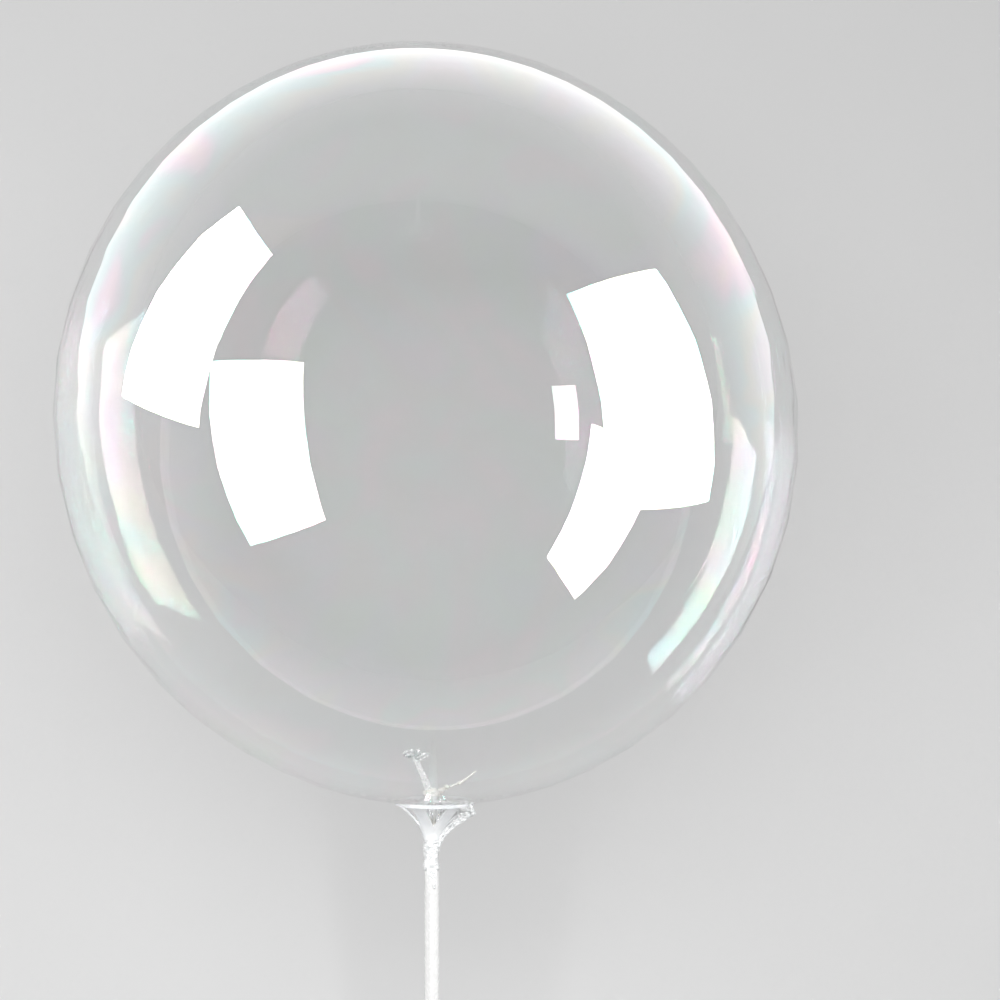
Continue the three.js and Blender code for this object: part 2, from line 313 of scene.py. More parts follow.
def wire_tree() -> GeometryTree:
    """Builds the tree that runs a round wire along a line of points, with beads strung on it."""
    smallest_share = 0.45
    tree = GeometryTree("wire_with_beads")
    radius = tree.input("Radius")
    sides = tree.input("Sides", "NodeSocketInt")
    beads = tree.input("Beads", "NodeSocketInt")
    bead_size = tree.input("Bead Size")
    seed = tree.input("Seed", "NodeSocketInt")
    taper = tree.input("Taper")
    bare = tree.add("GeometryNodeMeshToCurve", i0=tree.source.outputs["Geometry"]).outputs[0]
    along = tree.add("GeometryNodeSplineParameter").outputs["Factor"]
    slim = tree.math("SUBTRACT", 1.0, tree.math("MULTIPLY", along, taper))
    line = tree.add("GeometryNodeSetCurveRadius", Curve=bare, Radius=slim).outputs[0]
    ring = tree.add("GeometryNodeCurvePrimitiveCircle", Resolution=sides, Radius=radius)
    wire = tree.add("GeometryNodeCurveToMesh", Curve=line, Profile_Curve=ring.outputs[0], Fill_Caps=True)
    spots = tree.add("GeometryNodeCurveToPoints", Curve=line, Count=beads)
    ball = tree.add("GeometryNodeMeshIcoSphere", Radius=bead_size, Subdivisions=2)
    size = tree.add("FunctionNodeRandomValue", {"data_type": "FLOAT"}, Seed=seed)
    tree.feed(size.inputs[2], smallest_share)
    tree.feed(size.inputs[3], 1.0)
    near = tree.add("GeometryNodeInputRadius").outputs[0]
    strung = tree.add(
        "GeometryNodeInstanceOnPoints",
        Points=spots.outputs[0],
        Instance=ball.outputs[0],
        Scale=tree.math("MULTIPLY", size.outputs[1], near),
    )
    joined = tree.add("GeometryNodeJoinGeometry")
    tree.tree.links.new(wire.outputs[0], joined.inputs[0])
    tree.tree.links.new(strung.outputs[0], joined.inputs[0])
    tree.finish(joined.outputs[0])
    return tree


class Shape:
    """Points and faces that are being put together upright, in mm, before they become a piece."""

    def __init__(self) -> None:
        """Starts with no points."""
        self.points: list[Vector] = []
        self.faces: list[Face] = []

    def sheet(self, rows: list[list[Point | Vector]], closed: bool = False) -> list[list[int]]:
        """Adds a grid of points with faces between them.

        Args:
            rows: The points, row by row, with as many in each row.
            closed: Whether each row's end joins its start.

        Returns:
            The number of each point, row by row.
        """
        numbers = []
        for row in rows:
            start = len(self.points)
            self.points.extend(Vector(point) for point in row)
            numbers.append(list(range(start, start + len(row))))
        width = len(rows[0])
        for low, high in zip(numbers, numbers[1:]):
            for column in range(width if closed else width - 1):
                after = (column + 1) % width
                self.faces.append((low[column], low[after], high[after], high[column]))
        return numbers

    def cap(self, ring: list[int], tip: Point | Vector, turned: bool = False) -> None:
        """Closes a ring of points with a fan of faces that meet at a tip."""
        self.points.append(Vector(tip))
        last = len(self.points) - 1
        for place, number in enumerate(ring):
            after = ring[(place + 1) % len(ring)]
            self.faces.append((after, number, last) if not turned else (number, after, last))

    def tube(self, rows: list[list[Point | Vector]], tips: tuple[Vector, Vector] | None = None) -> None:
        """Adds a closed tube through rings of points, capped at both ends."""
        numbers = self.sheet(rows, closed=True)
        first = tips[0] if tips else sum((Vector(p) for p in rows[0]), Vector()) / len(rows[0])
        last = tips[1] if tips else sum((Vector(p) for p in rows[-1]), Vector()) / len(rows[-1])
        self.cap(numbers[0], first)
        self.cap(numbers[-1], last, turned=True)

    def mesh(self, name: str, outward: bool = True) -> bpy.types.Mesh:
        """Turns the shape into an upright mesh in metres.

        Args:
            name: The mesh's name.
            outward: Whether the faces are turned to point outwards, which suits closed shapes only.

        Returns:
            The mesh, smooth shaded.
        """
        mesh = bpy.data.meshes.new(name)
        mesh.from_pydata([point * MM for point in self.points], [], self.faces)
        if outward:
            reworked(mesh, turn_outwards)
        mesh.shade_smooth()
        return mesh


def reworked(mesh: bpy.types.Mesh, *changes: Callable[[bmesh.types.BMesh], None]) -> bpy.types.Mesh:
    """Makes changes to a mesh, one after the other, and gives the same mesh back."""
    draft = bmesh.new()
    draft.from_mesh(mesh)
    for change in changes:
        change(draft)
    draft.to_mesh(mesh)
    draft.free()
    return mesh


def turn_outwards(draft: bmesh.types.BMesh) -> None:
    """Turns the faces of closed shapes to point outwards."""
    bmesh.ops.recalc_face_normals(draft, faces=draft.faces)


def turn_over(draft: bmesh.types.BMesh) -> None:
    """Turns every face over."""
    bmesh.ops.reverse_faces(draft, faces=draft.faces)


def join_points(draft: bmesh.types.BMesh) -> None:
    """Joins points that coincide."""
    bmesh.ops.remove_doubles(draft, verts=draft.verts, dist=WELD_DISTANCE)


def welded(mesh: bpy.types.Mesh) -> bpy.types.Mesh:
    """Joins points that coincide, turns the faces outwards and gives the same mesh back."""
    return reworked(mesh, join_points, turn_outwards)


def outline_of(points: list[Point]) -> bpy.types.Mesh:
    """Makes a mesh of edges only, for the wire tree, from upright points in mm."""
    mesh = bpy.data.meshes.new("line")
    edges = [(number, number + 1) for number in range(len(points) - 1)]
    mesh.from_pydata([Vector(point) * MM for point in points], edges, [])
    return mesh


def settle(name: str, mesh: bpy.types.Mesh, material: bpy.types.Material) -> bpy.types.Object:
    """Lays an upright mesh down on the floor and makes it a piece that rides on the root body.

    Args:
        name: The piece's name.
        mesh: The upright mesh, in metres.
        material: The piece's material.

    Returns:
        The finished piece, at the origin, unturned and unscaled.
    """
    mesh.transform(LAYOUT.matrix())
    mesh.materials.clear()
    mesh.materials.append(material)
    piece = stand(name, mesh)
    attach(piece, "root")
    LOG.info("%s: %d faces", name, len(mesh.polygons))
    return piece


def circle(count: int) -> list[float]:
    """Returns angles that go once round in even steps."""
    return [2 * math.pi * step / count for step in range(count)]


def polar(radius: float, angle: float, height: float = 0.0) -> Point:
    """Returns the point at a radius and an angle round the Z axis."""
    return (radius * math.cos(angle), radius * math.sin(angle), height)


def rough_at(radius: float, angle: float, height: float) -> float:
    """Returns soft noise between about -1 and 1 at a point round the Z axis."""
    return noise.noise(Vector(polar(radius, angle, height)))


def smooth_step(low: float, high: float, value: float) -> float:
    """Rises smoothly from 0 at low to 1 at high."""
    share = min(max((value - low) / (high - low), 0.0), 1.0)
    return share * share * (3 - 2 * share)


def spline(points: list[Point], count: int) -> list[Vector]:
    """Runs a smooth curve through points.

    Args:
        points: The points that the curve passes through.
        count: How many points to give back.

    Returns:
        Points along the curve, from its start to its end.
    """
    knots = [Vector(point) for point in points]
    knots = [2 * knots[0] - knots[1], *knots, 2 * knots[-1] - knots[-2]]
    spans = len(knots) - 3
    result = []
    for step in range(count):
        along = spans * step / (count - 1)
        span = min(int(along), spans - 1)
        part = along - span
        before, start, end, after = knots[span : span + 4]
        slope = end - before
        bend = 2 * before - 5 * start + 4 * end - after
        sway = 3 * start - before - 3 * end + after
        curve = 2 * start + slope * part + bend * part * part + sway * part**3
        result.append(curve / 2)
    return result


def sweep(path: list[Vector], section: Callable[[float, float], Point], sides: int) -> list[list[Vector]]:
    """Runs a cross-section along a path, with as little twist as the path allows.

    Args:
        path: The points of the path.
        section: Gives sideways and upright reach for a share of the path and an angle.
        sides: How many points go round the section.

    Returns:
        One ring of points for each point of the path.
    """
    rings = []
    upright = Vector((0, -1, 0))
    for number, centre in enumerate(path):
        before = path[max(number - 1, 0)]
        after = path[min(number + 1, len(path) - 1)]
        ahead = (after - before).normalized()
        aside = ahead.cross(upright).normalized()
        upright = aside.cross(ahead).normalized()
        share = number / (len(path) - 1)
        ring = []
        for angle in circle(sides):
            reach = section(share, angle)
            ring.append(centre + aside * reach[0] + upright * reach[1] + ahead * reach[2])
        rings.append(ring)
    return rings


def crease_group() -> bpy.types.NodeTree:
    """Builds the shader group of the creases in slack film: long folds with finer ones across them."""
    graph = NodeGraph(bpy.data.node_groups.new("film_creases", "ShaderNodeTree"))
    graph.ports("INPUT", "Vector", "Vector")
    graph.ports("INPUT", "Float", "Fold Scale", "Fine Scale", "Fine Share")
    graph.ports("OUTPUT", "Float", "Height", "Crest")
    source = graph.tree.nodes.new("NodeGroupInput").outputs
    folds = graph.clouds(source["Vector"], source["Fold Scale"], 3.0)
    ridge = graph.math("ABSOLUTE", graph.math("SUBTRACT", folds, 0.5))
    sharp = graph.math("SUBTRACT", 1.0, graph.math("MULTIPLY", ridge, FOLD_SHARPNESS))
    fine = graph.clouds(source["Vector"], source["Fine Scale"], 2.0)
    added = graph.math("MULTIPLY", fine, source["Fine Share"])
    graph.end("Height", graph.math("ADD", sharp, added))
    graph.end("Crest", graph.math("POWER", graph.math("MAXIMUM", sharp, 0.0), CREST_POWER))
    return graph.tree


def handling_group() -> bpy.types.NodeTree:
    """Builds the shader group of moulded plastic that has been handled: cloudy tint and uneven gloss."""
    graph = NodeGraph(bpy.data.node_groups.new("handled_plastic", "ShaderNodeTree"))
    graph.ports("INPUT", "Vector", "Vector")
    graph.ports("INPUT", "Float", "Cloud Scale", "Gloss Low", "Gloss High")
    graph.ports("INPUT", "Color", "Light Tint", "Dark Tint")
    graph.ports("OUTPUT", "Color", "Color")
    graph.ports("OUTPUT", "Float", "Roughness")
    source = graph.tree.nodes.new("NodeGroupInput").outputs
    cloud = graph.clouds(source["Vector"], source["Cloud Scale"], 4.0)
    share = graph.ramp(cloud, CLOUD_RANGE)
    graph.end("Color", graph.blend(share, source["Dark Tint"], source["Light Tint"]))
    glosses = (source["Gloss Low"], source["Gloss High"])
    graph.end("Roughness", graph.ramp(cloud, CLOUD_RANGE, glosses))
    return graph.tree


@dataclass
class Workshop:
    """The node groups and trees that several pieces share, each built once."""

    creases: bpy.types.NodeTree = field(default_factory=crease_group)
    handling: bpy.types.NodeTree = field(default_factory=handling_group)
    radial: GeometryTree = field(default_factory=radial_tree)
    wire: GeometryTree = field(default_factory=wire_tree)


class Surface(NodeGraph):
    """A material being put together, with its Principled shader and Object coordinates at hand."""

    def __init__(self, name: str) -> None:
        """Makes an empty material."""
        self.material = bpy.data.materials.new(name)
        self.material.use_nodes = True
        super().__init__(self.material.node_tree)
        self.tree.nodes.clear()
        self.sink = self.tree.nodes.new("ShaderNodeOutputMaterial")
        self.shader = self.tree.nodes.new("ShaderNodeBsdfPrincipled")
        self.tree.links.new(self.shader.outputs[0], self.sink.inputs["Surface"])
        self.coordinates = self.add("ShaderNodeTexCoord").outputs["Object"]

    def group(self, tree: bpy.types.NodeTree, **inputs: object) -> bpy.types.Node:
        """Places a shader group and sets its inputs."""
        node = self.tree.nodes.new("ShaderNodeGroup")
        node.node_tree = tree
        for name, value in inputs.items():
            self.feed(node.inputs[name.replace("_", " ")], value)
        return node

    def set(self, **values: object) -> None:
        """Sets or links inputs of the Principled shader."""
        for name, value in values.items():
            self.feed(self.shader.inputs[name.replace("_", " ")], value)

    def stretched(self, scale: Point, turn: Point = (0.0, 0.0, 0.0)) -> bpy.types.NodeSocket:
        """Returns Object coordinates that are turned and then stretched."""
        turned = self.add("ShaderNodeMapping", Vector=self.coordinates, Rotation=turn)
        return self.add("ShaderNodeMapping", Vector=turned.outputs[0], Scale=scale).outputs[0]

    def bump(self, height: bpy.types.NodeSocket, depth: float) -> None:
        """Raises the surface by a height, to a depth in mm."""
        node = self.add("ShaderNodeBump", Height=height, Distance=depth * MM, Strength=1.0)
        self.set(Normal=node.outputs[0])

    def let_lamps_through(self, shade: float, edge_shade: float) -> None:
        """Lets lamps shine through the glass, so that its shadow is faint.

        Args:
            shade: How much light passes one wall that faces it.
            edge_shade: How much light passes a wall that it only grazes.
        """
        path = self.add("ShaderNodeLightPath").outputs["Is Shadow Ray"]
        grazing = self.add("ShaderNodeLayerWeight", Blend=0.5).outputs["Facing"]
        share = self.math("POWER", grazing, 4.0)
        passed = self.blend(share, (shade, shade, shade, 1.0), (edge_shade, edge_shade, edge_shade, 1.0))
        clear = self.add("ShaderNodeBsdfTransparent", Color=passed)
        mixed = self.add("ShaderNodeMixShader", i0=path, i1=self.shader.outputs[0], i2=clear.outputs[0])
        self.tree.links.new(mixed.outputs[0], self.sink.inputs["Surface"])


@dataclass(frozen=True)
class ClearFilm:
    """The stretched, clear film of the ball, with the faint colours of a thin layer, and its colour painted
    darker towards the ball's outline as painted shade.
    """

    tint: Color = (0.975, 0.98, 0.98, 1.0)
    # Grey painted in as shade where the film turns away from the view, towards the ball's outline.
    outline_painted_shade: Color = (0.5, 0.51, 0.52, 1.0)
    painted_shade_power: float = 8.0
    bend: float = 1.5
    layer_thin: float = 900.0
    layer_thick: float = 1500.0
    layer_bend: float = 1.33
    layer_stretch: Point = (1.0, 1.0, 0.35)
    layer_scale: float = 9.0
    layer_swirl: float = 1.2
    layer_range: tuple[float, float] = (0.3, 0.7)
    slack_gloss: tuple[float, float] = (0.02, 0.25)
    slack_depth: float = 0.15
    shade: float = 0.975
    edge_shade: float = 0.55
    ripple_scale: float = 250.0
    ripple_drift: float = 0.05
    ripple_start: float = 0.166
    ripple_end: float = 0.182
    ripple_height: float = 0.09
    ripple_fades: tuple[tuple[float, float], ...] = ((-0.15, -0.09), (0.13, 0.05))

    def material(self) -> bpy.types.Material:
        """Returns the film's material."""
        surface = Surface("clear_film")
        # Painted shade: the film's colour turns darker grey where its surface turns away from the view,
        # towards the outline.
        grazing = surface.add("ShaderNodeLayerWeight", Blend=0.5).outputs["Facing"]
        share = surface.math("POWER", grazing, self.painted_shade_power)
        tint = surface.blend(share, self.tint, self.outline_painted_shade)
        surface.set(Base_Color=tint, IOR=self.bend, Roughness=0.0, Transmission_Weight=1.0)
        flow = surface.stretched(self.layer_stretch)
        cloud = surface.clouds(flow, self.layer_scale, 2.0, self.layer_swirl)
        layer = surface.ramp(cloud, self.layer_range, (self.layer_thin, self.layer_thick))
        surface.set(Thin_Film_Thickness=layer, Thin_Film_IOR=self.layer_bend)
        self.add_ripples(surface)
        surface.let_lamps_through(self.shade, self.edge_shade)
        return surface.material

    def add_ripples(self, surface: Surface) -> None:
        """Adds the fine ripples that run along the weld seam, on both sides of the ball."""
        middle = LAYOUT.beside_ball((0.0, 0.0, 0.0))
        axis = LAYOUT.direction((0.0, 1.0, 0.0))
        beside = surface.vector_math("SUBTRACT", surface.coordinates, middle).outputs[0]
        along = surface.vector_math("PROJECT", beside, axis).outputs[0]
        flat = surface.vector_math("SUBTRACT", beside, along).outputs[0]
        reach = surface.vector_math("LENGTH", flat).outputs["Value"]
        drift = surface.math("MULTIPLY", surface.clouds(flat, 4.0, 1.0), self.ripple_drift)
        ring = surface.add("ShaderNodeCombineXYZ", X=reach, Y=drift)
        wave = surface.clouds(ring.outputs[0], self.ripple_scale, 1.0)
        near = surface.ramp(reach, (self.ripple_start, self.ripple_end), kind="SMOOTHSTEP")
        height = surface.math("MULTIPLY", wave, near)
        level = surface.add("ShaderNodeSeparateXYZ", Vector=flat).outputs["Y"]
        for fade in self.ripple_fades:
            height = surface.math("MULTIPLY", height, surface.ramp(level, fade, kind="SMOOTHSTEP"))
        surface.bump(height, self.ripple_height)

    def sleeve_material(self, shop: "Workshop") -> bpy.types.Material:
        """Returns the material of slack clear film, with its creases."""
        surface = Surface("slack_film")
        creases = surface.group(
            shop.creases,
            Vector=surface.coordinates,
            Fold_Scale=300.0,
            Fine_Scale=1400.0,
            Fine_Share=0.3,
        )
        gloss = surface.ramp(creases.outputs["Crest"], target=self.slack_gloss)
        surface.set(Base_Color=self.tint, IOR=self.bend, Roughness=gloss, Transmission_Weight=1.0)
        surface.bump(creases.outputs["Height"], self.slack_depth)
        surface.let_lamps_through(self.shade, self.edge_shade)
        return surface.material


@dataclass(frozen=True)
class GatheredFilm:
    """Film that lies in many layers, so that it looks milky and shows its creases, with a lighter colour
    painted along the crease crests as a painted highlight and a darker one between them as painted shade.
    """

    name: str
    # light is painted on the crease crests as a highlight; dark is the film's colour with painted shade,
    # between the crests.
    light: Color
    dark: Color
    clearness: float
    depth: float = 0.5
    bend: float = 1.5
    gloss: tuple[float, float] = (0.3, 0.12)

    def material(self, shop: Workshop) -> bpy.types.Material:
        """Returns the gathered film's material."""
        surface = Surface(self.name)
        along = surface.stretched((1.0, 1.0, 0.45))
        scales = {"Fold_Scale": 260.0, "Fine_Scale": 1200.0, "Fine_Share": 0.5}
        creases = surface.group(shop.creases, Vector=along, **scales)
        # Painted highlight on the crease crests and painted shade in the folds between them.
        tint = surface.blend(creases.outputs["Crest"], self.dark, self.light)
        gloss = surface.ramp(creases.outputs["Crest"], target=self.gloss)
        surface.set(Base_Color=tint, Roughness=gloss, IOR=self.bend)
        surface.set(Transmission_Weight=self.clearness, Coat_Weight=0.4, Coat_Roughness=0.08)
        surface.bump(creases.outputs["Height"], self.depth)
        return surface.material


@dataclass(frozen=True)
class CupPlastic:
    """The clear, slightly milky plastic that the cup is moulded in."""

    light: Color = (0.97, 0.98, 0.99, 1.0)
    dark: Color = (0.9, 0.92, 0.94, 1.0)

    def material(self, shop: Workshop) -> bpy.types.Material:
        """Returns the cup's material."""
        surface = Surface("cup_plastic")
        handled = surface.group(
            shop.handling,
            Vector=surface.coordinates,
            Cloud_Scale=160.0,
            Gloss_Low=0.05,
            Gloss_High=0.2,
            Light_Tint=self.light,
            Dark_Tint=self.dark,
        )
        surface.set(Base_Color=handled.outputs["Color"], Roughness=handled.outputs["Roughness"])
        surface.set(Transmission_Weight=0.5, IOR=1.49)
        flow = surface.group(
            shop.creases,
            Vector=surface.coordinates,
            Fold_Scale=90.0,
            Fine_Scale=700.0,
            Fine_Share=0.3,
        )
        surface.bump(flow.outputs["Height"], 0.04)
        surface.let_lamps_through(0.85, 0.6)
        return surface.material


@dataclass(frozen=True)
class StickPlastic:
    """The glossy white plastic of the drawn tube, with faint lines along it."""

    light: Color = (0.86, 0.86, 0.855, 1.0)
    dark: Color = (0.79, 0.79, 0.785, 1.0)
    line_scale: float = 1500.0
    line_depth: float = 0.02

    def material(self, shop: Workshop) -> bpy.types.Material:
        """Returns the stick's material."""
        surface = Surface("stick_plastic")
        turn = (math.asin(LAYOUT.rest_sine) - math.pi / 2, 0.0, 0.0)
        drawn = surface.stretched((1.0, 1.0, 0.02), turn)
        handled = surface.group(
            shop.handling,
            Vector=drawn,
            Cloud_Scale=900.0,
            Gloss_Low=0.16,
            Gloss_High=0.3,
            Light_Tint=self.light,
            Dark_Tint=self.dark,
        )
        surface.set(Base_Color=handled.outputs["Color"], Roughness=handled.outputs["Roughness"])
        surface.set(IOR=1.49, Coat_Weight=0.3, Coat_Roughness=0.05)
        surface.bump(surface.clouds(drawn, self.line_scale, 1.0), self.line_depth)
        return surface.material


@dataclass(frozen=True)
class FloorPaint:
    """The plain, pale, matt floor."""

    light: Color = (0.76, 0.76, 0.76, 1.0)
    dark: Color = (0.73, 0.73, 0.73, 1.0)

    def material(self, shop: Workshop) -> bpy.types.Material:
        """Returns the floor's material."""
        surface = Surface("pale_floor")
        handled = surface.group(
            shop.handling,
            Vector=surface.coordinates,
            Cloud_Scale=2.0,
            Gloss_Low=0.75,
            Gloss_High=0.85,
            Light_Tint=self.light,
            Dark_Tint=self.dark,
        )
        surface.set(Base_Color=handled.outputs["Color"], Roughness=handled.outputs["Roughness"])
        surface.set(Specular_IOR_Level=0.2)
        return surface.material


@dataclass
class FilmBall:
    """The inflated ball: two walls of film, the hollow at its neck and its weld seam. Sizes in mm."""

    finish: ClearFilm
    short_radius: float = 200.0
    long_radius: float = 207.0
    lean: float = math.radians(21.5)
    wall: float = 0.3
    slices: int = 288
    row_step: float = math.radians(1.25)
    dimple_place: Point = (1.8, 0.0, 0.0)
    dimple_radius: float = 9.6
    dimple_top_radius: float = 4.2
    dimple_rise: float = 6.6
    pleats: int = 10
    pleat_depth: float = 0.45
    wave_height: float = 0.1
    wave_length: float = 95.0
    pucker_height: float = 0.12
    pucker_count: int = 46
    pucker_width: float = 9.0
    floor_gap: float = 0.12
    seam_radius: float = 0.35
    seam_inset: float = 0.1
    seam_bead: float = 0.3
    # The weld's crest colour and its darker colour between crests, painted highlight and painted shade, then
    # its clearness and crease depth.
    weld_look: tuple = ((0.97, 0.98, 0.98, 1), (0.9, 0.92, 0.92, 1), 0.85, 0.1)
    seam_gap: float = 12.0
    seam_steps: int = 360

    def long_axis(self) -> Vector:
        """Returns the direction of the ball's long axis."""
        return Vector((-math.sin(self.lean), 0.0, math.cos(self.lean)))

    def reach(self, direction: Vector, inset: float) -> float:
        """Returns how far the wall is from the centre, in a direction.

        Args:
            direction: The direction, of length 1.
            inset: How far inside the outer wall.

        Returns:
            The distance in mm.
        """
        along = direction.dot(self.long_axis()) ** 2
        across = 1.0 - along
        short = self.short_radius - inset
        long = self.long_radius - inset
        return 1.0 / math.sqrt(across / short**2 + along / long**2)

    def ripple(self, point: Vector) -> float:
        """Returns how far the film stands out at a point beside the centre: soft waves and seam puckers."""
        wave = noise.noise(point / self.wave_length + Vector((3.1, 7.7, 1.3))) * self.wave_height
        round_angle = math.atan2(point.x, point.z)
        uneven = noise.noise(Vector((round_angle * 4.0, 5.0, 2.0)))
        pucker = math.sin(self.pucker_count * round_angle + 5.0 * uneven) * (0.5 + uneven)
        near_seam = math.exp(-((point.y / self.pucker_width) ** 2))
        return wave + self.pucker_height * pucker * near_seam

    def press(self, point: Vector, inset: float) -> Vector:
        """Draws the film up at the neck and presses it flat on the floor.

        Args:
            point: An upright point of the wall.
            inset: How far inside the outer wall it is.

        Returns:
            The point where the film really lies.
        """
        aside = Vector((point.x - self.dimple_place[0], point.y))
        if point.z < 2 * self.dimple_radius and aside.length < self.dimple_radius:
            share = smooth_step(self.dimple_radius, self.dimple_top_radius, aside.length)
            angle = math.atan2(aside.y, aside.x)
            fold = math.cos(self.pleats * angle) * math.sin(math.pi * share)
            point = point + Vector((0, 0, self.dimple_rise * share + self.pleat_depth * fold))
        height = LAYOUT.place(point).z / MM
        lowest = self.floor_gap + inset
        if height < lowest:
            upward = Vector((0.0, -LAYOUT.rest_cosine, LAYOUT.rest_sine))
            point = point + upward * (lowest - height)
        return point

    def tilts(self) -> list[float]:
        """Returns the rows' angles from the pole at the neck: close together there, then even."""
        close = [0.8, 1.6, 2.4, 3.2, 3.9, 4.5, 5.1, 5.7, 6.3, 6.9]
        close += [7.5, 8.1, 8.8, 9.6, 10.6, 12, 14, 17, 21, 25]
        angles = [math.asin(distance / self.long_radius) for distance in close]
        count = int((math.pi - angles[-1]) / self.row_step)
        angles.extend(angles[-1] + (math.pi - angles[-1]) * step / count for step in range(1, count))
        return angles

    def wall_shape(self, shape: Shape, inset: float, inward: bool) -> None:
        """Adds one wall of the film.

        Args:
            shape: What it is added to.
            inset: How far inside the outer wall.
            inward: Whether its faces point to the middle of the ball.
        """
        centre = Vector(LAYOUT.ball_centre)
        pole = (Vector(self.dimple_place) - centre).normalized()
        right = (Vector((1, 0, 0)) - pole * pole.x).normalized()
        back = pole.cross(right)

        def spot(tilt: float, turn: float) -> Vector:
            aside = right * math.cos(turn) + back * math.sin(turn)
            direction = pole * math.cos(tilt) + aside * math.sin(tilt)
            point = direction * self.reach(direction, inset)
            return self.press(centre + point + direction * self.ripple(point), inset)

        turns = circle(self.slices)
        if not inward:
            turns.reverse()
        numbers = shape.sheet([[spot(tilt, turn) for turn in turns] for tilt in self.tilts()], closed=True)
        shape.cap(numbers[0], spot(0.0, 0.0))
        shape.cap(numbers[-1], spot(math.pi, 0.0), turned=True)

    def build_film(self) -> None:
        """Makes the ball's two walls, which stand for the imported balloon."""
        shape = Shape()
        self.wall_shape(shape, 0.0, inward=False)
        self.wall_shape(shape, self.wall, inward=True)
        mesh = shape.mesh("film_ball", outward=False)
        piece = settle("film_ball", mesh, self.finish.material())
        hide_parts("bubble_balloon")

    def build_seam(self, shop: Workshop) -> None:
        """Makes the weld that joins the two halves of the film, round the ball through the neck."""
        points = []
        start = math.asin(self.seam_gap / self.long_radius)
        for number in range(self.seam_steps + 1):
            angle = start + (2 * math.pi - 2 * start) * number / self.seam_steps
            direction = Vector((math.sin(angle), 0.0, -math.cos(angle)))
            point = direction * self.reach(direction, self.seam_inset)
            points.append(Vector(LAYOUT.ball_centre) + point + direction * self.ripple(point))
        material = GatheredFilm("welded_film", *self.weld_look).material(shop)
        values = {
            "Radius": self.seam_radius * MM,
            "Sides": 8,
            "Beads": 2,
            "Bead Size": self.seam_bead * MM,
            "Seed": 1,
            "Taper": 0.0,
            "Material": material,
        }
        mesh = shop.wire.grow("weld_seam", outline_of(points), values)
        settle("weld_seam", mesh, material)

    def build(self, shop: Workshop) -> None:
        """Makes every piece of the ball."""
        self.build_film()
        self.build_seam(shop)


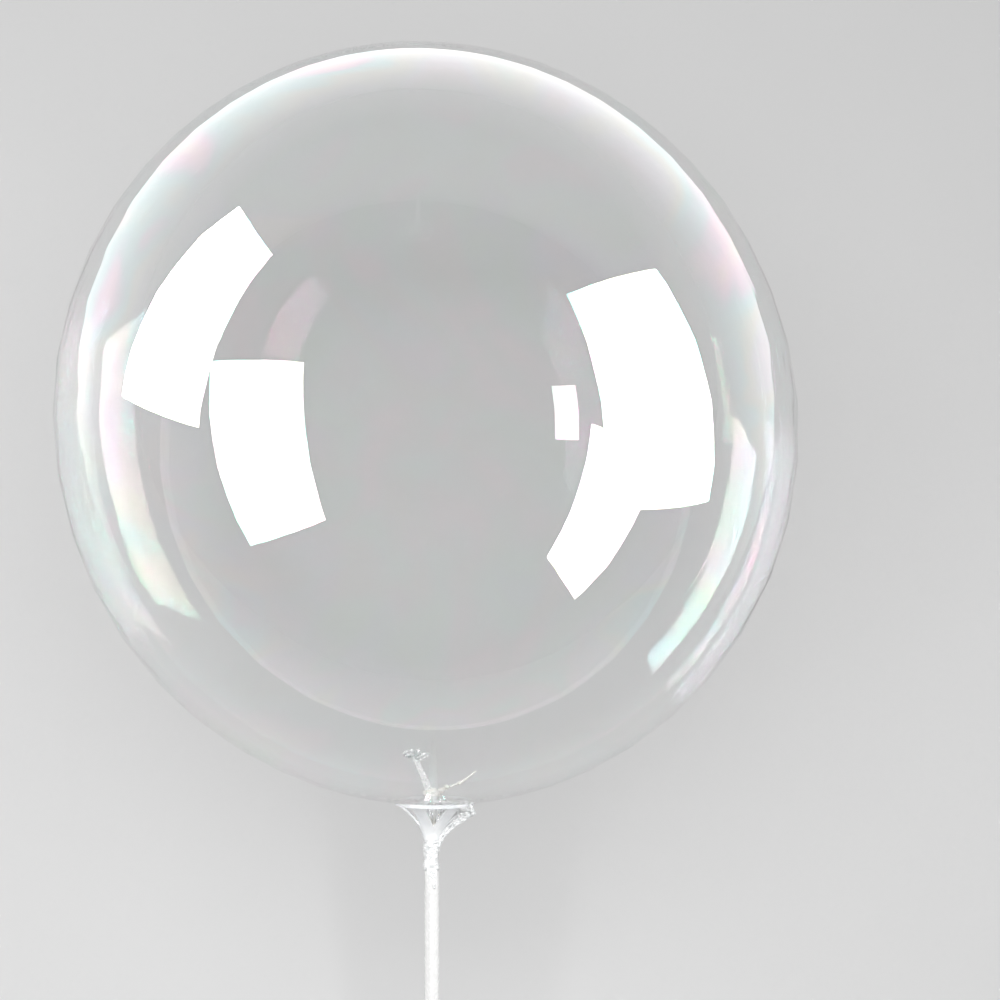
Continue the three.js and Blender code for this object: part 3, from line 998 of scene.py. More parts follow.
@dataclass
class Cup:
    """The cup: a ring, a funnel with pointed openings between its ribs, and a stem. Sizes in mm."""

    finish: CupPlastic
    rim_radius: float = 21.5
    rim_width: float = 1.2
    rim_height: float = 1.4
    rim_rounding: float = 0.45
    rim_shift: float = 1.8
    wall: float = 1.0
    funnel_height: float = 21.0
    flare: float = 1.6
    throat_radius: float = 4.6
    throat_step: float = 1.0
    window_count: int = 6
    window_width: float = 12.4
    window_height: float = 11.5
    window_turn: float = math.radians(2.0)
    collar_heights: tuple[float, float] = (-0.2, -0.7)
    stem_radius: float = 3.0
    stem_length: float = 27.4
    edge_rounding: float = 0.22
    ring_steps: int = 120
    ring_sides: int = 16

    def radius(self, height: float) -> float:
        """Returns the funnel's outer radius at a height between the throat and the rim."""
        share = (height + self.funnel_height) / self.funnel_height
        return self.throat_radius + (self.rim_radius - self.throat_radius) * share**self.flare

    def lean(self, point: Point | Vector) -> Vector:
        """Moves a point to the right with the leaning funnel."""
        share = min(max((point[2] + self.funnel_height) / self.funnel_height, 0.0), 1.0)
        return Vector(point) + Vector((self.rim_shift * share, 0.0, 0.0))

    def window_edge(self, height: float) -> float:
        """Returns the angle from a window's middle to its edge, at a height."""
        bottom = -self.rim_height - self.window_height
        half = self.window_width / 2 * max(height - bottom, 0.0) / self.window_height
        return math.asin(half / self.radius(height))

    def sector(self) -> bpy.types.Mesh:
        """Makes one window's share of the funnel's outer skin, from the rim down to the stem's end."""
        shape = Shape()
        top = -self.rim_height
        bottom = top - self.window_height
        throat = -self.funnel_height
        stem_top = throat - self.throat_step
        window_rows = [top + (bottom - top) * step / 14 for step in range(15)]
        funnel_rows = [bottom + (throat - bottom) * step / 8 for step in range(1, 9)]
        rings = [(self.radius(height), height) for height in window_rows + funnel_rows]
        rings += [(self.stem_radius + 0.5, throat - 0.3), (self.stem_radius, stem_top)]
        rings += [(self.stem_radius, stem_top - self.stem_length * step / 6) for step in range(1, 7)]
        half = math.pi / self.window_count

        def spot(ring: tuple[float, float], angle: float) -> Point:
            turned = angle + self.window_turn
            return (ring[0] * math.sin(turned), -ring[0] * math.cos(turned), ring[1])

        def beside(edge: float, side: int) -> list[float]:
            return [side * (edge + (half - edge) * step / 6) for step in range(7)][::side]

        for side in (-1, 1):
            rows = []
            for ring in rings:
                edge = self.window_edge(ring[1]) if ring[1] > bottom else 0.0
                rows.append([spot(ring, angle) for angle in beside(edge, side)])
            shape.sheet(rows)
        edge = self.window_edge(top)
        heights = (*self.collar_heights, top)
        collar = [(self.radius(height), height) for height in heights]
        over_window = [edge * (step / 5 - 1) for step in range(11)]
        for angles in (over_window, beside(edge, -1), beside(edge, 1)):
            shape.sheet([[spot(ring, angle) for angle in angles] for ring in collar])
        return shape.mesh("cup_sector", outward=False)

    def build_funnel(self, shop: Workshop, material: bpy.types.Material) -> None:
        """Makes the funnel, its ribs and its stem by repeating one window's share round the axis."""
        values = {
            "Count": self.window_count,
            "Lean": self.rim_shift * MM,
            "Height": self.funnel_height * MM,
            "Material": material,
        }
        mesh = shop.radial.grow("cup_funnel", self.sector(), values)
        piece = settle("cup_funnel", reworked(mesh, turn_over), material)
        wall = piece.modifiers.new("Wall", "SOLIDIFY")
        wall.thickness = self.wall * MM
        wall.offset = -1.0
        wall.use_even_offset = True
        edge = piece.modifiers.new("Edge", "BEVEL")
        edge.width = self.edge_rounding * MM
        edge.segments = 2
        edge.limit_method = "ANGLE"
        edge.angle_limit = math.radians(50)
        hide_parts("balloon_cup")

    def build_ring(self, material: bpy.types.Material) -> None:
        """Makes the rounded ring that the ball sits on."""
        shape = Shape()
        middle = Vector((self.rim_radius - self.rim_width / 2, -self.rim_height / 2))
        reach = Vector((self.rim_width / 2, self.rim_height / 2))
        rings = []
        for angle in circle(self.ring_steps):
            ring = []
            for turn in circle(self.ring_sides):
                out = math.copysign(abs(math.cos(turn)) ** self.rim_rounding, math.cos(turn))
                rise = math.copysign(abs(math.sin(turn)) ** self.rim_rounding, math.sin(turn))
                radius = middle.x + reach.x * out
                height = middle.y + reach.y * rise
                ring.append(self.lean(polar(radius, angle, height)))
            rings.append(ring)
        shape.sheet(rings + rings[:1], closed=True)
        mesh = welded(shape.mesh("cup_ring", outward=False))
        settle("cup_ring", mesh, material)

    def build(self, shop: Workshop) -> None:
        """Makes every piece of the cup."""
        material = self.finish.material(shop)
        self.build_funnel(shop, material)
        self.build_ring(material)


@dataclass
class GatheredNeck:
    """The film's gathered neck: pleats, a knot, a twisted column in the cup, and two loose ends inside."""

    cup: Cup
    cream: GatheredFilm
    frost: GatheredFilm
    clear: ClearFilm
    pleat_count: int = 10
    column_pleats: int = 8
    column_pleat_share: float = 0.22
    column_twist: float = 0.9
    crumple: float = 0.5
    knot_aside: float = 1.5
    knot_top: float = 7.4
    bundle_top: float = -9.4
    twist_pitch: float = 30.0
    end_thickness: float = 0.12
    knob_place: Point = (-3.5, -1.6, 5.2)
    knob_radius: float = 1.35
    sleeve_bottom: float = -13.0
    sleeve_height: float = 16.0
    sleeve_radius: float = 3.1
    sleeve_swell: float = 1.5
    sleeve_wall: float = 0.25
    pleat_thickness: float = 0.42
    leaf_thickness: float = 0.16
    spike_radius: float = 0.5
    spike_bead: float = 2.3

    def column_radius(self, height: float) -> float:
        """Returns the bundle's radius at a height, from the throat up to its ragged end in the windows."""
        marks = [(-21, 3.3), (-18, 4.1), (-15, 5.2), (-13.2, 5.7), (-11.8, 4.0), (-10.6, 1.6), (-9.4, 0.5)]
        return self.between(marks, height)

    def knot_radius(self, height: float) -> float:
        """Returns the knot's radius at a height."""
        return self.between([(0.0, 3.0), (1.6, 4.0), (3.4, 4.8), (5.4, 4.4), (6.7, 3.0), (7.4, 1.0)], height)

    def between(self, marks: list[tuple[float, float]], height: float) -> float:
        """Reads a smooth outline.

        Args:
            marks: Heights and the radius at each, from low to high.
            height: Where to read it.

        Returns:
            The radius there.
        """
        for (low, wide), (high, narrow) in zip(marks, marks[1:]):
            if height <= high:
                return wide + (narrow - wide) * smooth_step(low, high, height)
        return marks[-1][1]

    def bundle(self, shape: Shape, bottom: float, top: float, knot: float) -> None:
        """Adds a twisted, pleated bundle of film.

        Args:
            shape: What it is added to.
            bottom: Its lowest height.
            top: Its highest height.
            knot: From 0 for pleats that run along it to 1 for folds that are wrapped round it.
        """
        rows = []
        steps = 70
        sides = 96
        for step in range(steps + 1):
            height = bottom + (top - bottom) * step / steps
            row = []
            twist = 2 * math.pi * self.column_twist * (height + self.cup.funnel_height) / self.twist_pitch
            for angle in circle(sides):
                pleat = 1 - abs(math.sin(self.column_pleats / 2 * (angle + twist)))
                wrap = 1 - abs(math.sin(height * 1.3 + 0.9 * math.sin(angle + 0.6)))
                depth = self.column_pleat_share * (pleat * (1 - knot) + 0.9 * wrap * knot)
                place = Vector((math.cos(angle), math.sin(angle), 0.0)) * 2.2 + Vector((0, 0, height * 0.35))
                rough = noise.noise(place) * self.crumple
                wide = self.knot_radius(height) if knot else self.column_radius(height)
                radius = max(wide * (1 - depth) + rough, 0.3)
                across = radius * math.cos(angle) - self.knot_aside * knot
                row.append(self.cup.lean((across, radius * math.sin(angle), height)))
            rows.append(row)
        shape.tube(rows)

    def build_column(self, material: bpy.types.Material) -> None:
        """Makes the bundle of film in the throat, and the knot that the film is tied in above it."""
        shape = Shape()
        self.bundle(shape, -self.cup.funnel_height, self.bundle_top, 0.0)
        ends = [(-3.2, -11.2, 1.6), (2.6, -11.4, 1.4), (0.4, -9.6, 1.1), (-1.2, -10.4, 1.1)]
        for aside, height, size in ends:
            end = Vector((aside * 1.5, -3.0, height + 2.6))
            route = spline([(aside * 0.4, -1.2, -15.0), (aside * 0.8, -2.2, height - 2.4), end], 24)

            def frayed(share: float, angle: float, size: float = size) -> Point:
                wide = size * (1 - share) + self.end_thickness
                return (wide * math.cos(angle), 0.45 * wide * math.sin(angle), 0.0)

            rings = sweep([self.cup.lean(point) for point in route], frayed, 12)
            shape.tube(rings)
        self.bundle(shape, 0.0, self.knot_top, 1.0)
        knob = []
        for step in range(1, 9):
            tilt = math.pi * step / 9
            ring = []
            for angle in circle(14):
                reach = self.knob_radius * (1 + 0.15 * noise.noise(Vector((angle, tilt, 3))))
                point = polar(reach * math.sin(tilt), angle, reach * math.cos(tilt))
                ring.append(Vector(self.knob_place) + Vector(point))
            knob.append(ring)
        shape.tube(knob)
        settle("gathered_neck", shape.mesh("gathered_neck"), material)

    def build_sleeve(self, material: bpy.types.Material) -> None:
        """Makes the clear, pleated film that joins the knot to the bundle, seen through the windows."""
        shape = Shape()
        outside = []
        inside = []
        steps = 30
        sides = 80
        for step in range(steps + 1):
            share = step / steps
            height = self.sleeve_bottom + self.sleeve_height * share
            flare = self.sleeve_radius + self.sleeve_swell * math.sin(math.pi * share) ** 2
            for rows, inset in ((outside, 0.0), (inside, self.sleeve_wall)):
                row = []
                for angle in circle(sides):
                    pleat = 0.16 * math.sin(8 * angle + 3.0 * share)
                    radius = flare * (1 + pleat) - inset
                    row.append(self.cup.lean(polar(radius, angle, height)))
                rows.append(row)
        shape.sheet([*outside, *reversed(inside), outside[0]], closed=True)
        settle("neck_sleeve", welded(shape.mesh("neck_sleeve", outward=False)), material)

    def build_pleats(self, shop: Workshop, material: bpy.types.Material) -> None:
        """Makes the pleats that run from the ball's underside up to the knot."""
        shape = Shape()
        route = [(19.6, -0.75), (16.0, -1.15), (12.6, -1.35), (9.8, -1.1)]
        route += [(7.6, 0.0), (5.6, 1.8), (3.8, 3.2)]
        path = spline([(0.0, -radius, height) for radius, height in route], 34)

        def section(share: float, angle: float) -> Point:
            wide = 0.45 + 1.15 * math.sin(math.pi * min(0.08 + 0.8 * share, 1.0)) ** 1.5
            side = wide * math.cos(angle)
            return (side, self.pleat_thickness * math.sin(angle) + 0.35 * math.cos(side * 2.0), 0.0)

        shape.tube(sweep(path, section, 12))
        values = {
            "Count": self.pleat_count,
            "Lean": self.cup.rim_shift * MM,
            "Height": self.cup.funnel_height * MM,
            "Material": material,
        }
        mesh = shop.radial.grow("neck_pleats", shape.mesh("pleat"), values)
        settle("neck_pleats", mesh, material)

    def build_stalk(self, material: bpy.types.Material) -> None:
        """Makes the flat strip of film that stands up inside the ball, with its frilled top."""
        shape = Shape()
        route = [(-1.8, -0.5, 5.6), (-2.9, -0.6, 9.6), (-5.2, -0.4, 15)]
        route += [(-8.0, 0.0, 21.4), (-9.9, 0.3, 26.2)]
        path = spline(route, 40)

        def section(share: float, angle: float) -> Point:
            wide = 2.1 - 0.9 * share
            side = wide * math.cos(angle)
            rolled = 0.22 + 0.28 * abs(math.cos(angle)) ** 3
            wrinkle = 0.15 * noise.noise(Vector((side * 1.2, share * 4.0, 1.0)))
            return (side, rolled * math.sin(angle) + wrinkle, 0.0)

        shape.tube(sweep(path, section, 24))
        leaves = [(-9.8, 25.2, -1.15, 6.4), (-9.6, 25.7, -0.35, 5.2), (-9.2, 25.5, 0.55, 6.0)]
        leaves += [(-8.8, 24.7, 1.2, 8.4), (-10.2, 24.9, -1.45, 5.0), (-9.0, 24.3, 1.42, 5.6)]
        for number, (left, height, lean, length) in enumerate(leaves):
            tip = Vector((math.sin(lean), 0.0, math.cos(lean) * 0.55))
            start = Vector((left, 0.4 * (number % 3 - 1), height))
            bend = Vector((0.0, 1.6 * math.sin(2.1 * number), 0.5 * math.cos(3.0 * number)))
            leaf_path = spline([start, start + tip * length * 0.5 + bend, start + tip * length], 22)

            def leaf(share: float, angle: float, number: int = number) -> Point:
                wide = 0.25 + 1.5 * math.sin(math.pi * min(share * 0.9 + 0.1, 1.0))
                side = wide * math.cos(angle) * (1 + 0.3 * noise.noise(Vector((share * 5, number, 0))))
                ruffle = 0.45 * math.sin(9 * share + 2.5 * side + number)
                return (side, self.leaf_thickness * math.sin(angle) + ruffle, 0.0)

            shape.tube(sweep(leaf_path, leaf, 16))
        settle("inner_strip", shape.mesh("inner_strip"), material)

    def build_spike(self, shop: Workshop, material: bpy.types.Material) -> None:
        """Makes the thin, beaded end of film that points to the right inside the ball."""
        route = [(2.2, -1.8, 3.6), (4.4, -1.4, 5.6), (7.2, -0.8, 7.6), (10.5, -0.2, 8.6), (14.3, 0.2, 9.7)]
        route += [(17.6, 0.4, 11.5), (20.6, 0.6, 13.9), (24.1, 0.7, 16.5)]
        values = {
            "Radius": self.spike_radius * MM,
            "Sides": 10,
            "Beads": 15,
            "Bead Size": self.spike_bead * MM,
            "Seed": 4,
            "Taper": 0.85,
            "Material": material,
        }
        mesh = shop.wire.grow("inner_spike", outline_of(spline(route, 60)), values)
        settle("inner_spike", mesh, material)

    def build(self, shop: Workshop) -> None:
        """Makes every piece of the gathered neck."""
        cream = self.cream.material(shop)
        frost = self.frost.material(shop)
        self.build_column(cream)
        self.build_sleeve(self.clear.sleeve_material(shop))
        self.build_pleats(shop, frost)
        self.build_stalk(frost)
        self.build_spike(shop, cream)


@dataclass
class Tail:
    """The film's tail: a strand out of a window, crumpled loops, turns round the stem and a tip."""

    cup: Cup
    film: GatheredFilm
    azimuth: float = math.radians(62.0)
    wound_radius: float = 5.0
    inner_radius: float = 3.3
    turns: float = 1.6
    turns_top: float = -21.1
    notch_height: float = -30.6
    notch_tall: float = 2.9
    notch_depth: float = 1.9
    turns_bottom: float = -37.1
    step_depth: float = 0.95
    wrinkle: float = 0.22
    tip_top: float = -36.1
    tip_bottom: float = -46.9
    tip_width: float = 6.6
    tip_shift: float = 1.6
    tip_inner_radius: float = 4.25

    def outward(self, radius: float, height: float, aside: float = 0.0) -> Vector:
        """Places a point in the tail's own upright plane, leaning with the funnel.

        Args:
            radius: How far out from the axis.
            height: The upright height.
            aside: How far beside the plane, to the viewer's right.

        Returns:
            The upright point.
        """
        out = Vector((math.sin(self.azimuth), -math.cos(self.azimuth), 0.0)) * radius
        beside = Vector((math.cos(self.azimuth), math.sin(self.azimuth), 0.0)) * aside
        return self.cup.lean(out + beside + Vector((0.0, 0.0, height)))

    def build_strand(self, material: bpy.types.Material) -> None:
        """Makes the two rolled edges of film that run from the window down to the stem."""
        shape = Shape()
        route = [(4.2, -6.4, 0.0), (9.0, -5.2, 0.1), (15.0, -3.6, 0.3), (21.2, -3.2, 0.6)]
        route += [(24.2, -4.4, 0.8), (22.2, -6.2, 1.0), (17.8, -9.0, 1.0), (13.2, -12.3, 1.0)]
        route += [(10.2, -15.3, 0.9), (7.9, -18.3, 0.8), (5.9, -21.4, 0.5), (4.4, -24.0, 0.2)]
        for number, (aside, inward) in enumerate(((-0.4, 0.0), (0.5, 1.4), (-0.1, 2.8))):
            near = []
            for radius, height, share in route:
                drawn_in = inward * share
                near.append(self.outward(radius - 0.66 * drawn_in, height + 0.5 * drawn_in, aside))
            path = spline(near, 90)

            def section(share: float, angle: float, number: int = number) -> Point:
                wide = 0.85 + 0.2 * math.sin(13 * share + 2 * number)
                rough = 0.2 * rough_at(1.0, angle, share * 26 + 9 * number)
                flat = 0.62 + rough
                return ((wide + rough) * math.cos(angle), flat * math.sin(angle), 0.0)

            shape.tube(sweep(path, section, 14))
        settle("tail_strand", shape.mesh("tail_strand"), material)

    def build_loops(self, material: bpy.types.Material) -> None:
        """Makes the crumpled loops of film in the mouth of the window."""
        shape = Shape()
        loops = [
            [(13.6, -2.2), (16.8, 0.6), (19.4, 1.4), (22.0, -0.6), (23.4, -4.0), (20.4, -3.4), (16.6, -3.0)],
            [
                (14.4, -4.2),
                (18.0, -4.2),
                (22.6, -3.8),
                (24.6, -4.6),
                (21.6, -6.8),
                (18.2, -9.0),
                (15.4, -7.4),
            ],
            [(13.8, -3.2), (15.4, -5.4), (17.8, -6.8), (20.4, -5.0), (18.6, -2.2), (15.8, -1.0)],
        ]
        for number, loop in enumerate(loops):
            closed = []
            for place, (radius, height) in enumerate(loop):
                aside = 0.8 * math.sin(2.0 * place + number) + number - 1
                closed.append(self.outward(radius, height, aside))
            path = spline([*closed, closed[0], closed[1]], 80)

            def section(share: float, angle: float, number: int = number) -> Point:
                wide = 0.85 + 0.3 * math.sin(17 * share + 1.7 * number)
                rough = 0.16 * rough_at(1.0, angle, share * 20 + 5 * number)
                return ((0.5 + rough) * math.cos(angle), wide * math.sin(angle), 0.0)

            shape.tube(sweep(path, section, 12))
        settle("tail_loops", shape.mesh("tail_loops"), material)

    def notch(self, angle: float, height: float) -> float:
        """Returns how far the wound film dips in at its right side, where one turn ends above the next."""
        aside = (angle + math.pi) % (2 * math.pi) - math.pi
        beside = math.exp(-((aside / 0.95) ** 2))
        return self.notch_depth * beside * math.exp(-(((height - self.notch_height) / self.notch_tall) ** 4))

    def build_turns(self, material: bpy.types.Material) -> None:
        """Makes the film that is wound round the cup's stem, with a step where each turn overlaps."""
        shape = Shape()
        steps = 90
        sides = 96
        outside = []
        for step in range(steps + 1):
            share = step / steps
            height = self.turns_bottom + (self.turns_top - self.turns_bottom) * share
            row = []
            for angle in circle(sides):
                wind = (angle / (2 * math.pi) - self.turns * share) % 1.0
                overlap = smooth_step(0.0, 0.12, wind) * (1 - 0.75 * smooth_step(0.12, 1.0, wind))
                coarse = rough_at(1.4, angle, height * 0.5 - wind)
                fine = rough_at(3, angle, height * 1.8 + 4 * wind)
                radius = self.wound_radius - self.step_depth * (1 - overlap)
                radius += self.wrinkle * (coarse + 0.7 * fine) - 0.15
                radius = min(radius, self.wound_radius) - 0.35 * smooth_step(0.95, 1.0, share)
                radius = max(radius - self.notch(angle, height), self.inner_radius + 0.25)
                row.append(polar(radius, angle, height))
            outside.append(row)
        ends = (self.turns_top, self.turns_bottom)
        inside = [[polar(self.inner_radius, angle, height) for angle in circle(sides)] for height in ends]
        shape.sheet([*outside, *inside, outside[0]], closed=True)
        mesh = welded(shape.mesh("tail_turns", outward=False))
        settle("tail_turns", mesh, material)

    def build_tip(self, material: bpy.types.Material) -> None:
        """Makes the pointed end of the film, lying on the front of the stick with rolled edges."""
        shape = Shape()
        rows = 44
        columns = 20
        front = []
        back = []
        for row in range(rows + 1):
            share = row / rows
            height = self.tip_top + (self.tip_bottom - self.tip_top) * share
            half = self.tip_width / 2 * (1 - share) + 0.12
            middle = self.tip_shift * share
            line = []
            under = []
            for column in range(columns + 1):
                across = 2 * column / columns - 1
                angle = (middle + half * across) / self.wound_radius
                rolled = 0.28 * abs(across) ** 6 + 0.12 * noise.noise(Vector((across * 2, share * 6, 0)))
                crease = 0.22 * math.exp(-((across * half + 0.4) / 0.35) ** 2)
                radius = self.wound_radius - 0.35 + rolled - crease
                line.append((radius * math.sin(angle), -radius * math.cos(angle), height))
                lower = self.tip_inner_radius
                under.append((lower * math.sin(angle), -lower * math.cos(angle), height))
            front.append(line)
            back.append(list(reversed(under)))
        rings = [line + under for line, under in zip(front, back)]
        shape.tube(rings)
        settle("tail_tip", shape.mesh("tail_tip"), material)

    def build(self, shop: Workshop) -> None:
        """Makes every piece of the tail."""
        material = self.film.material(shop)
        self.build_strand(material)
        self.build_loops(material)
        self.build_turns(material)
        self.build_tip(material)


@dataclass
class Stick:
    """The white plastic tube that the cup's stem plugs into. Sizes in mm."""

    finish: StickPlastic
    radius: float = 4.0
    wall: float = 0.7
    top: float = -37.4
    length: float = 400.0
    edge: float = 0.2
    sides: int = 96
    groove_count: int = 6
    groove_depth: float = 0.16
    groove_width: float = 0.075

    def groove(self, turn: float) -> float:
        """Returns how deep the shallow grooves along the tube are, at an angle."""
        step = 2 * math.pi / self.groove_count
        aside = (turn + step / 2) % step - step / 2
        return self.groove_depth * math.exp(-((aside / self.groove_width) ** 2))

    def build(self, shop: Workshop) -> None:
        """Makes the tube with its rounded ends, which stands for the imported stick."""
        shape = Shape()
        bottom = self.top - self.length
        inner = self.radius - self.wall
        profile = [(inner, bottom + self.edge), (inner + self.edge, bottom)]
        profile += [(self.radius - self.edge, bottom), (self.radius, bottom + self.edge)]
        steps = 40
        for step in range(1, steps):
            profile.append((self.radius, bottom + self.length * step / steps))
        profile += [(self.radius, self.top - self.edge), (self.radius - self.edge, self.top)]
        profile += [(inner + self.edge, self.top), (inner, self.top - self.edge)]
        rows = []
        for radius, height in profile + profile[:1]:
            row = []
            for turn in circle(self.sides):
                near = radius - (self.groove(turn) if radius > inner + self.edge else 0.0)
                row.append(polar(near, turn, height))
            rows.append(row)
        shape.sheet(rows, closed=True)
        mesh = welded(shape.mesh("stick_tube", outward=False))
        piece = settle("stick_tube", mesh, self.finish.material(shop))
        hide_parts("stick")


class Light(Enum):
    """What a studio light does."""

    FILL = "lights everything softly and doesn't show in gloss"
    FILM = "shows only where the ball's film mirrors it"
    BODY = "lights the pieces other than the ball"
    NECK = "lights the cup and the gathered film"


def mirrored_only(graph: NodeGraph) -> bpy.types.NodeSocket:
    """Returns 1 for light that something has mirrored on its way, and 0 for light that comes straight."""
    depth = graph.add("ShaderNodeLightPath").outputs["Glossy Depth"]
    return graph.math("GREATER_THAN", depth, 0.5)


@dataclass(frozen=True)
class Panel:
    """A soft rectangular studio light, placed in mm from the ball's centre in upright directions."""

    name: str
    centre: Point
    right: Point
    up: Point
    power: float
    kind: Light

    def build(self, lit: dict[Light, bpy.types.Collection]) -> None:
        """Makes the light, facing the ball.

        Args:
            lit: The pieces that each kind of panel lights.
        """
        lamp = bpy.data.lights.new(self.name, "AREA")
        lamp.shape = "RECTANGLE"
        lamp.size = 2 * Vector(self.right).length * MM
        lamp.size_y = 2 * Vector(self.up).length * MM
        lamp.energy = self.power
        place = LAYOUT.beside_ball(self.centre)
        across = LAYOUT.direction(self.right)
        tall = LAYOUT.direction(self.up)
        tall = (tall - across * tall.dot(across)).normalized()
        away = across.cross(tall)
        if away.dot(LAYOUT.beside_ball((0, 0, 0)) - place) > 0:
            across = -across
            away = -away
        light = stand(self.name, lamp)
        light.matrix_world = Matrix((across, tall, away)).transposed().to_4x4()
        light.location = place
        light.visible_camera = False
        if self.kind is Light.FILL:
            light.visible_glossy = False
            light.visible_transmission = False
        else:
            light.light_linking.receiver_collection = lit[self.kind]
        if self.kind is Light.FILM:
            lamp.use_nodes = True
            graph = NodeGraph(lamp.node_tree)
            graph.feed(lamp.node_tree.nodes["Emission"].inputs["Strength"], mirrored_only(graph))


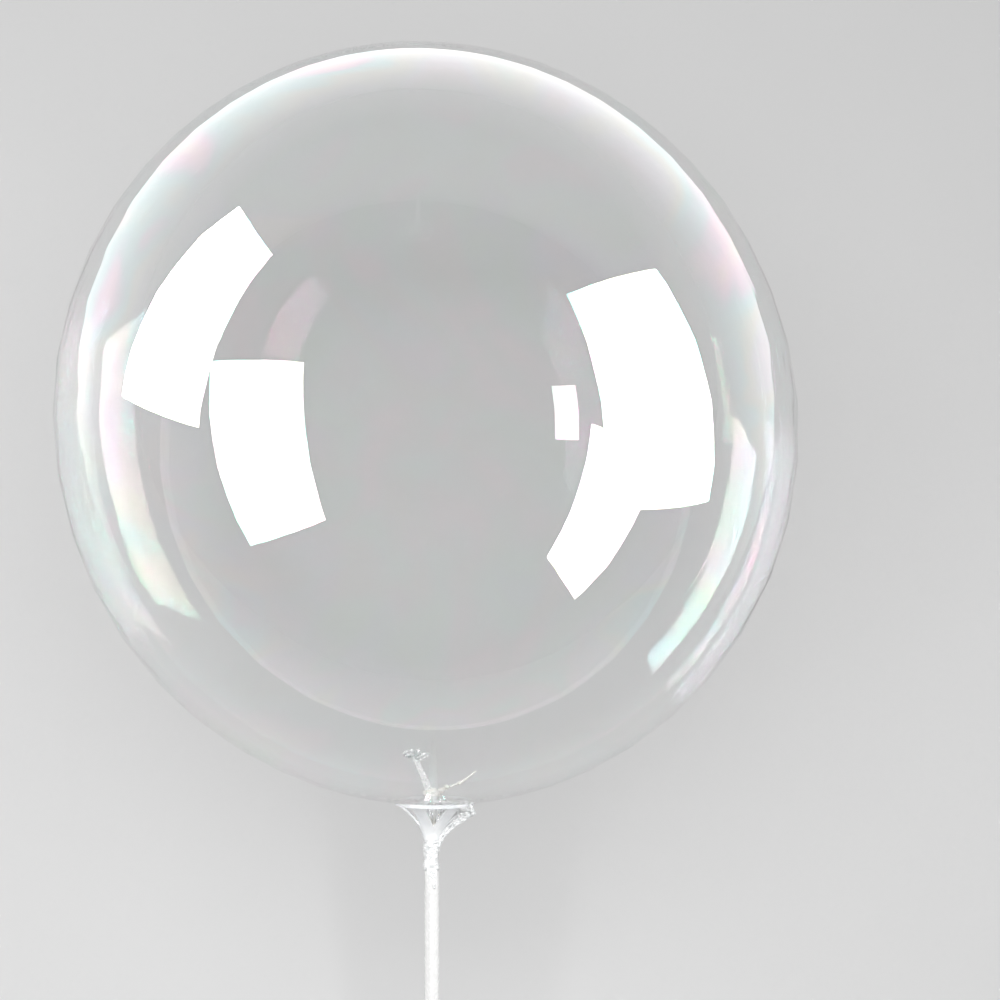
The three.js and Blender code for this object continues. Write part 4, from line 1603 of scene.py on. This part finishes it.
@dataclass
class BounceCard:
    """A curved white card that slopes up round the ball, and that the film mirrors along its outline."""

    foot_radius: float = 0.5
    top_radius: float = 0.72
    half_turn: float = math.radians(130.0)
    turn: float = math.radians(-8.0)
    foot: float = 0.015
    height: float = 0.42
    foot_glow: float = 1.5
    top_glow: float = 0.1
    fade_start: float = -0.3
    fade_end: float = 0.24
    steps: int = 48

    def build(self) -> None:
        """Makes the card, which isn't part of the object."""
        points = []
        middle = LAYOUT.beside_ball((0, 0, 0))
        high = self.foot + self.height
        for step in range(self.steps + 1):
            angle = self.turn + self.half_turn * (2 * step / self.steps - 1)
            across = math.sin(angle)
            up = math.cos(angle)
            for radius, level in ((self.foot_radius, self.foot), (self.top_radius, high)):
                points.append((middle.x + radius * across, middle.y + radius * up, level))
        faces = [(first, first + 1, first + 3, first + 2) for first in range(0, 2 * self.steps, 2)]
        mesh = bpy.data.meshes.new("bounce_card")
        mesh.from_pydata(points, [], faces)
        surface = Surface("bounce_card")
        split = surface.add("ShaderNodeSeparateXYZ", Vector=surface.coordinates)
        glow = surface.ramp(split.outputs["Z"], (self.foot, high), (self.foot_glow, self.top_glow))
        reach = (middle.y + self.fade_start, middle.y + self.fade_end)
        fade = surface.ramp(split.outputs["Y"], reach, kind="SMOOTHSTEP")
        strength = surface.math("MULTIPLY", glow, fade)
        shown = surface.math("MULTIPLY", strength, mirrored_only(surface))
        lit = surface.add("ShaderNodeEmission", Strength=shown)
        clear = surface.add("ShaderNodeBsdfTransparent")
        mixed = surface.add("ShaderNodeAddShader", i0=clear.outputs[0], i1=lit.outputs[0])
        surface.tree.links.new(mixed.outputs[0], surface.sink.inputs["Surface"])
        mesh.materials.append(surface.material)
        card = stand("bounce_card", mesh)
        card.visible_camera = False
        card.visible_diffuse = False
        card.visible_shadow = False
        card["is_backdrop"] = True


@dataclass
class Studio:
    """The plain pale floor, the soft lights and the camera."""

    floor: FloorPaint
    floor_size: float = 6.0
    camera_distance: float = 1670.0
    aim: Point = (39.7, 0.0, -41.0)
    lens: float = 110.7
    sensor_width: float = 36.0
    room_gray: float = 0.04
    neck_names: tuple[str, ...] = ("cup", "gathered", "neck", "inner", "tail")
    panels: tuple[Panel, ...] = (
        Panel("left_window", (-688, -242, 377), (14, -186, -38), (7, -52, 365), 34.0, Light.FILM),
        Panel("right_window", (624, -294, 129), (121, 204, 22), (0, -23, 338), 34.0, Light.FILM),
        Panel("small_window", (-1216, -1030, -132), (80, -95, 0), (0, 0, 225), 6.0, Light.FILM),
        Panel("left_side", (-683, -252, 381), (14, -186, -38), (12, -62, 369), 3.8, Light.BODY),
        Panel("right_side", (624, -294, 129), (121, 204, 22), (0, -23, 338), 3.8, Light.BODY),
        Panel("left_neck", (-500, -600, 100), (220, -183, 0), (0, 0, 300), 4.5, Light.NECK),
        Panel("right_neck", (520, -560, 200), (200, 186, 0), (0, 0, 300), 4.5, Light.NECK),
        Panel("overhead", (-160, -1500, 240), (900, 0, 0), (0, 150, 800), 37.0, Light.FILL),
    )

    def build_floor(self, shop: Workshop) -> None:
        """Makes the floor, which isn't part of the object."""
        mesh = bpy.data.meshes.new("floor")
        half = self.floor_size / 2
        corners = [(-half, -half, 0), (half, -half, 0), (half, half, 0), (-half, half, 0)]
        mesh.from_pydata(corners, [], [(0, 1, 2, 3)])
        mesh.materials.append(self.floor.material(shop))
        stand("floor", mesh)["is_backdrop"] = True

    def build_lights(self) -> None:
        """Makes the dim room and its soft panels, once every piece is there."""
        linked = (Light.FILM, Light.BODY, Light.NECK)
        lit = {kind: bpy.data.collections.new(kind.name.lower()) for kind in linked}
        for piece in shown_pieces():
            kind = Light.FILM if piece.name == "film_ball" else Light.BODY
            lit[kind].objects.link(piece)
            if piece.name.startswith(self.neck_names):
                lit[Light.NECK].objects.link(piece)
        for panel in self.panels:
            panel.build(lit)
        BounceCard().build()
        world = bpy.data.worlds.new("room")
        world.use_nodes = True
        backdrop = world.node_tree.nodes["Background"]
        backdrop.inputs["Color"].default_value = (self.room_gray, self.room_gray, self.room_gray, 1.0)
        bpy.context.scene.world = world

    def build_camera(self) -> None:
        """Makes the camera at the photograph's viewing angle."""
        lens = bpy.data.cameras.new("view")
        lens.lens = self.lens
        lens.sensor_width = self.sensor_width
        camera = stand("view", lens)
        place = LAYOUT.beside_ball((0.0, -self.camera_distance, 0.0))
        away = (place - LAYOUT.beside_ball(self.aim)).normalized()
        up = LAYOUT.direction((0, 0, 1))
        right = up.cross(away).normalized()
        camera.matrix_world = Matrix((right, away.cross(right), away)).transposed().to_4x4()
        camera.location = place
        bpy.context.scene.camera = camera

    def set_picture(self) -> None:
        """Sets how light is followed through the film and how the picture is shown."""
        scene = bpy.context.scene
        scene.view_settings.view_transform = "Standard"
        scene.cycles.max_bounces = 24
        scene.cycles.transmission_bounces = 24
        scene.cycles.glossy_bounces = 16
        scene.cycles.transparent_max_bounces = 24
        scene.cycles.sample_clamp_indirect = 0.0
        scene.cycles.caustics_reflective = False
        scene.cycles.caustics_refractive = False
        scene.cycles.use_denoising = True

    def build(self, shop: Workshop) -> None:
        """Makes the camera and the floor, and sets how the picture is shown."""
        self.build_camera()
        self.build_floor(shop)
        self.set_picture()


def main() -> None:
    logging.basicConfig(level=logging.INFO, format="%(name)s %(message)s")
    shop = Workshop()
    studio = Studio(FloorPaint())
    studio.build(shop)
    cup = Cup(CupPlastic())
    # Each gathered film's first colour is painted on its crease crests as a highlight; the second is its
    # colour with painted shade between them.
    cream = GatheredFilm("gathered_film", (0.96, 0.955, 0.925, 1), (0.86, 0.84, 0.78, 1), 0.15)
    frost = GatheredFilm("loose_film", (0.95, 0.96, 0.96, 1), (0.86, 0.875, 0.88, 1), 0.6, 0.25, 1.2)
    wound = GatheredFilm("wound_film", (0.92, 0.925, 0.925, 1), (0.72, 0.735, 0.74, 1), 0.1, 0.6)
    FilmBall(ClearFilm()).build(shop)
    cup.build(shop)
    GatheredNeck(cup, cream, frost, ClearFilm()).build(shop)
    Tail(cup, wound).build(shop)
    Stick(StickPlastic()).build(shop)
    studio.build_lights()


if __name__ == "__main__":
    main()
